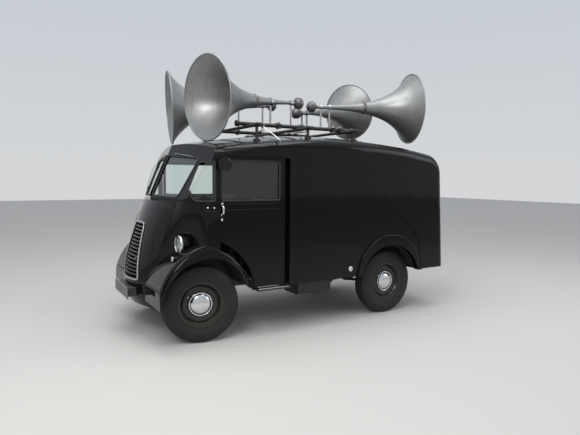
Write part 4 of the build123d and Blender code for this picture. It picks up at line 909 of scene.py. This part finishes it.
# Wing mirrors
# Round black pressings on bent arms from the cab's front pillars, with the
# silvered glass let in behind a rolled edge, facing the driver.
MIRROR_FROM_Y = 0.925
MIRROR_GLASS = [(0.001, 0.052), (0.0022, 0.051), (0.0022, 0.0)]
MIRROR_EDGE = (0.001, 0.0545, 0.003)
mirror_black = coated(
    "mirror_black", ((60.0, 4.0, 0.6), (0.004, 0.004, 0.004, 1), (0.009, 0.009, 0.009, 1)),
    0.22, dust=0.12, sockets={"Specular IOR Level": 0.3})
dress(mirror_black, "mirrors")
mirror_surface = surface_of("mirrors")
for side_name, hand in HANDS:
    spots = [v.co for v in nodes["mirrors"].data.vertices if v.co.y * hand > MIRROR_FROM_Y]
    centre = Vector([(min(s[k] for s in spots) + max(s[k] for s in spots)) / 2 for k in range(3)])
    hits = []
    for y, z in ((0, 0.02), (0.02, -0.02), (-0.02, -0.02)):
        start = centre + Vector((-0.3, y * hand, z))
        hits.append(mirror_surface.ray_cast(start, AHEAD)[0])
    facing = (hits[1] - hits[0]).cross(hits[2] - hits[0]).normalized()
    if facing.x > 0:
        facing = -facing
    seat = Vector((sum(hit.x for hit in hits) / 3, centre.y, centre.z))
    seat -= facing * (seat - hits[0]).dot(facing)
    glass = lathe(f"mirror_glass_{side_name}", MIRROR_GLASS, seat, facing, 48)
    finish_piece(glass, silvering, "root")
    edge_ring = bead_ring(f"mirror_edge_{side_name}", *MIRROR_EDGE, seat, facing, 48)
    finish_piece(edge_ring, mirror_black, "root")

# Wipers, steps and small body fittings
# Two bright wiper arms hang from spindles over the screen, ribbed rubber covers the
# steps inside a bright nosing, and a chrome cap closes the filler in the left flank.
bright_steel = coated(
    "bright_steel", ((70.0, 5.0, 0.6), (0.50, 0.50, 0.50, 1), (0.38, 0.38, 0.37, 1)),
    ((120.0, 5.0, 0.7), (0.3, 0.8), (0.20, 0.42)), dust=0.25, sockets={"Metallic": 1.0})
dress(bright_steel, "wipers", "horn_stands")
tread_rubber = coated(
    "tread_rubber", ((30.0, 4.0, 0.6), (0.012, 0.012, 0.012, 1), (0.025, 0.024, 0.022, 1)),
    0.6, dust=0.6, relief=((200.0, 3.0, 0.6), 0.2, 0.0005))
dress(chassis_paint, "step_rails")
RIBS = 9
TREAD_FROM_Y = 0.775
RIB_HALF, RIB_HIGH, RIB_BEVEL = 0.0022, 0.0025, 0.0008
RIB_IN, NOSING_IN, NOSING_R = 0.012, 0.008, 0.0065
low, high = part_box("step_rails")
rib_pitch = (high[1] - NOSING_IN - TREAD_FROM_Y) / RIBS
for side_name, hand in HANDS:
    parts = []
    for k in range(RIBS):
        middle = hand * (TREAD_FROM_Y + rib_pitch * (k + 0.5))
        parts.append(block((low[0] + RIB_IN, middle - RIB_HALF, high[2] - 0.001),
                           (high[0] - RIB_IN, middle + RIB_HALF, high[2] + RIB_HIGH), RIB_BEVEL))
    finish_piece(assembled(f"step_tread_{side_name}", parts), tread_rubber, "root")
    nosing_line = [(x, hand * (high[1] - 0.004), high[2])
                   for x in (low[0] + NOSING_IN, (low[0] + high[0]) / 2, high[0] - NOSING_IN)]
    nosing = tube(f"step_nosing_{side_name}", resampled(nosing_line, 0.03), NOSING_R, flat=0.6)
    finish_piece(nosing, silver_paint, "root")

FILLER_BACK, FILLER_Z = 1.577, 0.569
FILLER_RING = (0.000, 0.029, 0.003)
FILLER = [(-0.004, 0.026), (0.002, 0.027), (0.006, 0.0255), (0.009, 0.020), (0.010, 0.0)]
flank = surface_of("side_panel_left", "side_panel_right")
filler_at = flank.ray_cast(Vector((FRONT_AXLE_X - FILLER_BACK, FAR_SIDE, FILLER_Z)), -LEFTWARD)[0]
finish_piece(lathe("filler_cap", FILLER, filler_at, LEFTWARD, 40), chrome, "root")
filler_ring = bead_ring("filler_cap_seal", *FILLER_RING, filler_at, LEFTWARD, 40)
finish_piece(filler_ring, seal_rubber, "root")

# Horn loudspeakers
# Four long bells spun from aluminium sheet, gone dull and grey with weather, each
# in two lengths joined at a rusting steel band, with a compression driver behind.
BELL_LONG = 1.120
SEAM_SHARE = 0.49
CLEAR_OF_BELL = 0.6
# columns: name, mouth ahead, out and height, heading, tilt, second clamp from the throat
HORNS = [
    ("front_left", -0.158, 0.427, 2.268, 11.0, -3.3, 0.330),
    ("front_right", -0.124, -0.606, 2.286, -13.0, -4.0, 0.330),
    ("rear_left", -2.638, 0.560, 2.333, 161.7, 0.9, 0.140),
    ("rear_right", -2.580, -0.530, 2.408, -158.4, 6.6, 0.140),
]
# columns: along the band, back to where the bell is measured, height over the bell
BAND = [(-0.016, 0.016, 0.0002), (-0.016, 0.016, 0.0022), (-0.007, 0.011, 0.0024), (-0.0045, 0.011, 0.0068),
        (0.0045, -0.011, 0.0068), (0.007, -0.011, 0.0024), (0.016, -0.016, 0.0022), (0.016, -0.016, 0.0002)]


def stretched(tree, where, scale):
    return node(tree, "Mapping", {"Vector": where, "Scale": scale}).outputs["Vector"]


spun_aluminium, tree, shader, where = surfaced("spun_aluminium", {"Metallic": 0.72})
cloud = noise(tree, where, 2.6, 6.0, 0.62)
patches = ranged(tree, cloud, 0.30, 0.72, 0.0, 1.0)
oxide = mix_colour(tree, patches, (0.34, 0.35, 0.355, 1), (0.22, 0.225, 0.225, 1))
spots = uneven(tree, where, (34.0, 6.0, 0.7), (0.58, 0.70), (0.0, 0.55))
spotted = mix_colour(tree, spots, oxide, (0.15, 0.15, 0.145, 1))
runs = uneven(tree, stretched(tree, where, (9.0, 9.0, 0.9)), (3.0, 5.0, 0.65), (0.52, 0.74), (0.0, 0.5))
streaked = mix_colour(tree, runs, spotted, (0.17, 0.155, 0.13, 1))
dusty(tree, shader, streaked, ranged(tree, cloud, 0.3, 0.8, 0.36, 0.52), 0.35)
bumped(tree, shader, noise(tree, where, 140.0, 2.0, 0.5), 0.06, 0.0006)

driver_grey = coated(
    "driver_grey", ((26.0, 5.0, 0.6), (0.10, 0.10, 0.105, 1), (0.19, 0.19, 0.19, 1)),
    ((50.0, 4.0, 0.6), (0.3, 0.8), (0.30, 0.5)), dust=0.4, relief=((120.0, 3.0, 0.6), 0.15, 0.0006),
    sockets={"Metallic": 0.6})
dress(driver_grey, "horn_drivers")

rusty_band, tree, shader, where = surfaced("rusty_band")
flaking = uneven(tree, where, (38.0, 6.0, 0.7), (0.40, 0.62), (0.0, 1.0))
rust = two_tone(tree, where, (90.0, 4.0, 0.6), (0.16, 0.060, 0.022, 1), (0.075, 0.030, 0.014, 1))
feed(tree, shader.inputs["Base Color"], mix_colour(tree, flaking, (0.20, 0.20, 0.20, 1), rust))
feed(tree, shader.inputs["Roughness"], ranged(tree, flaking, 0.0, 1.0, 0.4, 0.9))
feed(tree, shader.inputs["Metallic"], ranged(tree, flaking, 0.0, 1.0, 0.8, 0.0))
bumped(tree, shader, flaking, 0.4, 0.0008)

horns = []
for name, ahead, out, up_z, heading, tilt, second in HORNS:
    turn, rise = math.radians(heading), math.radians(tilt)
    pointing = Vector((math.cos(rise) * math.cos(turn), math.cos(rise) * math.sin(turn), math.sin(rise)))
    horns.append((name, Vector((FRONT_AXLE_X + ahead, out, up_z)), pointing, second))
seam_back = BELL_LONG * (1 - SEAM_SHARE)
for name, mouth, pointing, second in horns:
    dress(spun_aluminium, f"horn_{name}")
    bell = surface_of(f"horn_{name}")
    side = pointing.orthogonal().normalized()
    band_shape = []
    for along, back, rise in BAND:
        start = mouth - pointing * (seam_back + back) + side * CLEAR_OF_BELL
        radius = CLEAR_OF_BELL - (bell.ray_cast(start, -side)[0] - start).length
        band_shape.append((along, radius + rise))
    band = lathe(f"horn_seam_band_{name}", band_shape, mouth - pointing * seam_back, pointing, 72)
    finish_piece(band, rusty_band, "root")

# Horn clamps
# Bright posts stand on cross feet held to the rack by black saddle blocks, two
# bolts each, and a collar is welded at the foot of every post.
FIRST_CLAMP = 0.040
RAIL_Y, RAIL_Z, RAIL_R = 0.450, 2.045, 0.020
FOOT_Z = RAIL_Z + RAIL_R
SADDLE_LONG, SADDLE_WIDE = 0.021, 0.034
SADDLE_UNDER = 0.026
BOLT_OUT = 0.027
FOOT_THICK = 0.012
# columns: foot and top from the middle of the rail, bevel
SADDLE = [(0.001, RAIL_R + 0.0005, 0.004), (-SADDLE_UNDER, -0.002, 0.006)]
COLLAR = [(0.0, 0.019), (0.004, 0.0185), (0.009, 0.0145), (0.014, 0.0125), (0.0145, 0.0112)]
clamp_black, tree, shader, where = surfaced("clamp_black")
chipped = uneven(tree, where, (55.0, 6.0, 0.7), (0.64, 0.70), (0.0, 0.7))
sprayed = two_tone(tree, where, (20.0, 4.0, 0.6), (0.010, 0.010, 0.010, 1), (0.022, 0.021, 0.020, 1))
dusty(tree, shader, mix_colour(tree, chipped, sprayed, (0.12, 0.11, 0.10, 1)), 0.42, 0.45)
bumped(tree, shader, noise(tree, where, 130.0, 4.0, 0.6), 0.2, 0.0005)
dress(clamp_black, "roof_rack")
for name, mouth, pointing, second in horns:
    for i, along in enumerate((FIRST_CLAMP, second)):
        centre = mouth - pointing * (BELL_LONG - along)
        rail_y = math.copysign(RAIL_Y, centre.y)
        saddle = [block((centre.x - SADDLE_LONG, rail_y - SADDLE_WIDE, RAIL_Z + foot),
                        (centre.x + SADDLE_LONG, rail_y + SADDLE_WIDE, RAIL_Z + top), bevel)
                  for foot, top, bevel in SADDLE]
        finish_piece(assembled(f"saddle_{name}_{i + 1}", saddle), clamp_black, "root")
        bolts = []
        for y in (rail_y - BOLT_OUT, rail_y + BOLT_OUT):
            bolts.append(hex_bolt((centre.x, y, FOOT_Z + FOOT_THICK), UPWARD))
            bolts.append(hex_bolt((centre.x, y, RAIL_Z - SADDLE_UNDER), -UPWARD))
        finish_piece(assembled(f"saddle_bolts_{name}_{i + 1}", bolts), bright_steel, "root")
        foot_top = (centre.x, centre.y, FOOT_Z + FOOT_THICK - 0.0002)
        collar = lathe(f"post_collar_{name}_{i + 1}", COLLAR, foot_top, UPWARD, 32)
        finish_piece(collar, bright_steel, "root")

# Tie strap
# A white woven strap is pulled tight from the rack's near rail down to the rain
# gutter, where a wire hook holds it.
STRAP_TOP = Vector((FRONT_AXLE_X - 0.753, 0.462, 2.030))
STRAP_FOOT = Vector((FRONT_AXLE_X - 0.713, 0.866, 1.872))
STRAP_HALF, STRAP_FLAT = 0.009, 0.14
HOOK_WIRE_R = 0.0022
# columns: out and up from the foot of the strap
HOOK = [(-0.012, 0.006), (0.0, 0.0), (0.006, -0.012), (0.008, -0.030), (0.010, -0.045), (0.006, -0.055),
        (-0.002, -0.054)]
webbing, tree, shader, where = surfaced("webbing", {"Roughness": 0.8})
weave = node(tree, "TexWave", {"Vector": where, "Scale": 160.0, "Distortion": 1.0}).outputs["Fac"]
woven = mix_colour(tree, weave, (0.62, 0.62, 0.60, 1), (0.74, 0.74, 0.72, 1))
feed(tree, shader.inputs["Base Color"], woven)
bumped(tree, shader, weave, 0.4, 0.0006)
strap_line = [STRAP_TOP.lerp(STRAP_FOOT, s / 12) for s in range(13)]
strap = tube("tie_strap", strap_line, STRAP_HALF, sides=12, flat=STRAP_FLAT)
finish_piece(strap, webbing, "root")
loop_r = RAIL_R + 0.0018
loop_line = [Vector((STRAP_TOP.x, RAIL_Y + loop_r * math.cos(turn), RAIL_Z + loop_r * math.sin(turn)))
             for turn in [math.tau * k / 28 for k in range(28)]]
loop = tube("tie_strap_loop", loop_line, STRAP_HALF, True, sides=12, flat=STRAP_FLAT, flat_way=AHEAD)
finish_piece(loop, webbing, "root")
hook_line = [STRAP_FOOT + Vector((0, y, z)) for y, z in HOOK]
hook = tube("tie_strap_hook", smoothed(resampled(hook_line, 0.005), 2), HOOK_WIRE_R)
finish_piece(hook, bright_steel, "root")

# Seats
# Two bucket seats with a sprung cushion and a back squab in dark brown leathercloth
# over horsehair, sewn in upright flutes and piped round every edge.
# columns: part, low and high corners of its space, axis the sitter presses along, inset
SEAT_PARTS = [("cushion", (0.512, 0.175, 0.820), (0.932, 0.575, 0.920), 2, 0.016),
              ("squab", (0.417, 0.175, 0.830), (0.512, 0.575, 1.340), 0, 0.014)]
SIDE_INSET = 0.012
VOXEL = 0.006
PRESSURE = 4.0
BLOWN_FRAMES = 20
MOST_MOVED = 0.026
FORM_BEVEL = 0.014
FLUTES = 6
FLUTE_DEEP, FLUTE_SOFT = 0.0065, 0.0065
PIPING_R, PIPING_SHARE = 0.0045, 0.70
MARGIN = 0.0006

leather, tree, shader, where = surfaced("leathercloth")
hide = two_tone(tree, where, (7.0, 5.0, 0.6), (0.040, 0.021, 0.014, 1), (0.075, 0.040, 0.026, 1))
scuffs = uneven(tree, where, (45.0, 6.0, 0.7), (0.58, 0.74), (0.0, 0.5))
scuffed = mix_colour(tree, scuffs, hide, (0.13, 0.085, 0.06, 1))
dusty(tree, shader, scuffed, uneven(tree, where, (30.0, 4.0, 0.6), (0.3, 0.8), (0.38, 0.56)), 0.25)
pebbles = node(tree, "TexVoronoi", {"Vector": where, "Scale": 420.0})
bumped(tree, shader, pebbles.outputs["Distance"], 0.25, 0.0006)


def held(value, low, high):
    return max(low, min(high, value))


def baked(form):
    """Makes what a form's modifiers show into its own mesh."""
    graph = bpy.context.evaluated_depsgraph_get()
    form.data = bpy.data.meshes.new_from_object(form.evaluated_get(graph))
    form.modifiers.clear()


def swollen(name, low, high, thin_axis, thin):
    """Cushion blown up by cloth simulation from a form smaller than its space."""
    inset = Vector([thin if k == thin_axis else SIDE_INSET for k in range(3)])
    form = mesh_object(name, *block(low + inset, high - inset, FORM_BEVEL))
    remesh = form.modifiers.new("remesh", "REMESH")
    remesh.mode = "VOXEL"
    remesh.voxel_size = VOXEL
    baked(form)
    starts = [v.co.copy() for v in form.data.vertices]
    cloth = form.modifiers.new("cloth", "CLOTH")
    cloth.settings.use_pressure = True
    cloth.settings.uniform_pressure_force = PRESSURE
    cloth.settings.effector_weights.gravity = 0.0
    cloth.settings.quality = 4
    cloth.point_cache.frame_start = 1
    cloth.point_cache.frame_end = BLOWN_FRAMES
    for number in range(1, BLOWN_FRAMES + 1):
        bpy.context.scene.frame_set(number)
    baked(form)
    bpy.context.scene.frame_set(1)
    for v, start in zip(form.data.vertices, starts):
        moved = v.co - start
        if moved.length > MOST_MOVED:
            v.co = start + moved.normalized() * MOST_MOVED
        for k in range(3):
            v.co[k] = held(v.co[k], low[k] + MARGIN, high[k] - MARGIN)
    finer = form.modifiers.new("finer", "SUBSURF")
    finer.levels = 1
    finer.render_levels = 1
    baked(form)
    for polygon in form.data.polygons:
        polygon.use_smooth = True
    return form


def fluted(form, low, high, axis):
    """Presses sewn channels into the face that the sitter touches."""
    width = high.y - low.y
    for v in form.data.vertices:
        depth = (v.co[axis] - low[axis]) / (high[axis] - low[axis])
        near_face = held((depth - 0.55) / 0.25, 0.0, 1.0)
        place = (v.co.y - low.y) / width * FLUTES
        away = abs(place - round(place)) * width / FLUTES
        edge = min(v.co.y - low.y, high.y - v.co.y)
        fade = held((edge - 0.030) / 0.02, 0.0, 1.0)
        v.co[axis] -= near_face * fade * FLUTE_DEEP * math.exp(-(away / FLUTE_SOFT) ** 2)


def squared(value):
    """Draws a sine or cosine outward, for a path between a round and a square."""
    return math.copysign(abs(value) ** 0.35, value)


def piping(name, form, low, high, axis):
    """A cord sewn round a cushion at a share of its thickness."""
    size = high - low
    start = low + size / 2
    start[axis] = low[axis] + size[axis] * PIPING_SHARE
    one, other = [k for k in range(3) if k != axis]
    verts = [v.co for v in form.data.vertices]
    cover = BVHTree.FromPolygons(verts, [tuple(p.vertices) for p in form.data.polygons])
    line = []
    for turn in [math.tau * k / 96 for k in range(96)]:
        way = Vector((0, 0, 0))
        way[one] = squared(math.cos(turn)) * size[one]
        way[other] = squared(math.sin(turn)) * size[other]
        hit = cover.ray_cast(start + way, -way.normalized())[0]
        if hit:
            line.append(hit - way.normalized() * 0.0015)
    return tube(name, smoothed(line, 1), PIPING_R, True, sides=8)


for part, low, high, axis, thin in SEAT_PARTS:
    low, high = Vector(low), Vector(high)
    cushion = swollen(f"seat_{part}_passenger", low, high, axis, thin)
    fluted(cushion, low, high, axis)
    cord = piping(f"seat_{part}_piping_passenger", cushion, low, high, axis)
    driver_cushion = link(bpy.data.objects.new(f"seat_{part}_driver", cushion.data.copy()))
    driver_cord = link(bpy.data.objects.new(f"seat_{part}_piping_driver", cord.data.copy()))
    for mirrored in (driver_cushion, driver_cord):
        mirrored.data.transform(Matrix.Scale(-1, 4, LEFTWARD))
        mirrored.data.flip_normals()
    for person, form, pipe in (("passenger", cushion, cord), ("driver", driver_cushion, driver_cord)):
        finish_piece(form, leather, "root")
        finish_piece(pipe, leather, "root")
        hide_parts(f"{person}_cushions")

# Dashboard and steering wheel
# A painted steel dash with a round speedometer, two small gauges and a row of
# pull knobs, and a black spoked wheel on a black column.
cab_paint = coated(
    "cab_paint", ((8.0, 4.0, 0.6), (0.085, 0.088, 0.085, 1), (0.125, 0.127, 0.122, 1)),
    0.42, dust=0.35, relief=((150.0, 3.0, 0.6), 0.1, 0.0005))
dress(cab_paint, "dashboard", "engine_cover")
wheel_plastic = coated(
    "wheel_plastic", ((24.0, 4.0, 0.6), (0.009, 0.009, 0.009, 1), (0.018, 0.017, 0.016, 1)),
    ((35.0, 4.0, 0.6), (0.3, 0.8), (0.18, 0.34)), dust=0.2)
dress(wheel_plastic, "steering_wheel")
dial_face = coated("dial_face", ((60.0, 3.0, 0.5), (0.55, 0.52, 0.44, 1), (0.62, 0.60, 0.52, 1)), 0.55)

BEHIND_DASH_X = 0.9
DIAL_Z, KNOB_Z = 1.175, 1.165
# columns: name, across, radius
DIALS = [("speedometer", -0.375, 0.042), ("fuel_gauge", -0.270, 0.024), ("oil_gauge", -0.480, 0.024)]
KNOBS_Y = (-0.20, -0.15, -0.10, -0.05)
# columns: outward in metres, radius as a share of the dial's
BEZEL = [(-0.002, 1.0), (0.006, 1.0), (0.009, 0.94), (0.007, 0.86), (0.002, 0.84)]
FACE = [(0.0025, 0.86), (0.0030, 0.40), (0.0030, 0.0)]
DIAL_PARTS = [("bezel", BEZEL, chrome, "chrome"), ("face", FACE, dial_face, "cab_grey")]
MARKS_OUT, POINTER_OUT = 0.0035, 0.0048
KNOB = [(-0.002, 0.009), (0.003, 0.009), (0.004, 0.004), (0.016, 0.004), (0.018, 0.010), (0.023, 0.0115),
        (0.028, 0.010), (0.030, 0.0)]
dash_surface = surface_of("dashboard")
for label, across, radius in DIALS:
    seat = dash_surface.ray_cast(Vector((BEHIND_DASH_X, across, DIAL_Z)), AHEAD)[0]
    for part, shares, material, slot in DIAL_PARTS:
        profile = [(out, share * radius) for out, share in shares]
        finish_piece(lathe(f"{label}_{part}", profile, seat, -AHEAD, 48), material, "root")
    marks = []
    for turn in [math.radians(-120 + 30 * k) for k in range(9)]:
        way = Vector((0, math.sin(turn), math.cos(turn)))
        half_long = way * radius * 0.07
        half_wide = Vector((0, way.z, -way.y)) * radius * 0.02
        middle = seat + way * radius * 0.73 - AHEAD * MARKS_OUT
        marks.append(([middle - half_long - half_wide, middle + half_long - half_wide,
                       middle + half_long + half_wide, middle - half_long + half_wide], [(0, 1, 2, 3)]))
    tip = seat + Vector((-POINTER_OUT, radius * 0.45, radius * 0.45))
    tail = seat + Vector((-POINTER_OUT, -radius * 0.12, -radius * 0.12))
    lean = Vector((0, radius * 0.03, -radius * 0.03))
    marks.append(([tail - lean, tail + lean, tip], [(0, 1, 2)]))
    finish_piece(assembled(f"{label}_marks", marks), wheel_plastic, "root")
for i, across in enumerate(KNOBS_Y):
    seat = dash_surface.ray_cast(Vector((BEHIND_DASH_X, across, KNOB_Z)), AHEAD)[0]
    finish_piece(lathe(f"dash_knob_{i + 1}", KNOB, seat, -AHEAD, 28), wheel_plastic, "root")

# Floor, chassis and running gear
# Boards, bare on top and tarred beneath, lie on a black ladder frame. The running gear
# is black with road dirt and rust, the engine green-grey iron, the exhaust burnt steel.
floor_boards, tree, shader, where = surfaced("floor_boards")
grain_lines = noise(tree, stretched(tree, where, (1.2, 14.0, 14.0)), 4.0, 7.0, 0.65)
timber = mix_colour(tree, grain_lines, (0.085, 0.050, 0.028, 1), (0.17, 0.11, 0.062, 1))
tarred = two_tone(tree, where, (16.0, 5.0, 0.6), (0.009, 0.009, 0.009, 1), (0.022, 0.020, 0.017, 1))
dusty(tree, shader, mix_colour(tree, facing_up(tree, 0.5, 0.9), tarred, timber), 0.62, 0.4)
bumped(tree, shader, grain_lines, 0.2, 0.001)
dress(floor_boards, "floor")
dress(chassis_paint, "chassis_frame", "front_axle", "rear_axle", "leaf_springs", "knuckle_left",
      "knuckle_right", "prop_shaft", "seat_frames", "steering_column", "fuel_tank")

engine_iron, tree, shader, where = surfaced("engine_iron")
cast = two_tone(tree, where, (18.0, 6.0, 0.65), (0.030, 0.045, 0.038, 1), (0.060, 0.070, 0.060, 1))
oily = uneven(tree, where, (6.0, 5.0, 0.6), (0.45, 0.65), (0.0, 0.8))
dusty(tree, shader, mix_colour(tree, oily, cast, (0.012, 0.010, 0.008, 1)), 0.5, 0.3)
bumped(tree, shader, noise(tree, where, 110.0, 4.0, 0.6), 0.35, 0.001)
dress(engine_iron, "power_unit")

exhaust_steel, tree, shader, where = surfaced("exhaust_steel", {"Metallic": 0.4})
scale_mask = uneven(tree, where, (22.0, 7.0, 0.7), (0.38, 0.62), (0.0, 1.0))
burnt = mix_colour(tree, scale_mask, (0.12, 0.11, 0.10, 1), (0.13, 0.055, 0.025, 1))
feed(tree, shader.inputs["Base Color"], burnt)
feed(tree, shader.inputs["Roughness"], ranged(tree, scale_mask, 0.0, 1.0, 0.45, 0.9))
bumped(tree, shader, noise(tree, where, 140.0, 4.0, 0.6), 0.3, 0.0008)
dress(exhaust_steel, "exhaust")

# Rear lamps and door handle
# Two round red lamps with a bright rim sit on the rear corners, and the rear doors
# close with a chrome turning handle on a round plate.
LENS_OUT, LENS_RIM_R = 0.006, 0.0035
HANDLE_Y, HANDLE_Z, HANDLE_R = 0.045, 1.02, 0.0075
HANDLE_PLATE = [(-0.004, 0.024), (0.003, 0.024), (0.006, 0.018), (0.006, 0.010), (0.020, 0.009),
                (0.022, 0.0)]
# columns: behind the plate's seat, up from it
GRIP = [(0.018, 0.008), (0.019, -0.02), (0.019, -0.095)]
red_lens, tree, shader, where = surfaced("red_lens", {
    "Base Color": (0.55, 0.010, 0.008, 1), "Transmission Weight": 0.55, "IOR": 1.49})
prisms = node(tree, "TexVoronoi", {"Vector": where, "Scale": 170.0})
bumped(tree, shader, prisms.outputs["Distance"], 0.6, 0.002)
feed(tree, shader.inputs["Roughness"], uneven(tree, where, (30.0, 3.0, 0.5), (0.3, 0.8), (0.12, 0.25)))
dress(red_lens, "rear_lamps")
low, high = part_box("rear_lamps")
lamp_r = (high[2] - low[2]) / 2
for side_name, hand in HANDS:
    seat = Vector((low[0] + LENS_OUT, hand * (high[1] - lamp_r), (low[2] + high[2]) / 2))
    rim = bead_ring(f"rear_lamp_rim_{side_name}", 0.0, lamp_r + 0.0015, LENS_RIM_R, seat, AHEAD, 40)
    finish_piece(rim, chrome, "root")
seat = tail_surface.ray_cast(Vector((BEHIND_TAIL_X, HANDLE_Y, HANDLE_Z)), AHEAD)[0]
finish_piece(lathe("rear_handle_plate", HANDLE_PLATE, seat, -AHEAD, 40), chrome, "rear_door_left")
grip_line = [(seat.x - behind, HANDLE_Y, HANDLE_Z + z) for behind, z in GRIP]
grip = tube("rear_handle", smoothed(resampled(grip_line, 0.008), 2), HANDLE_R, sides=14)
finish_piece(grip, chrome, "rear_door_left")
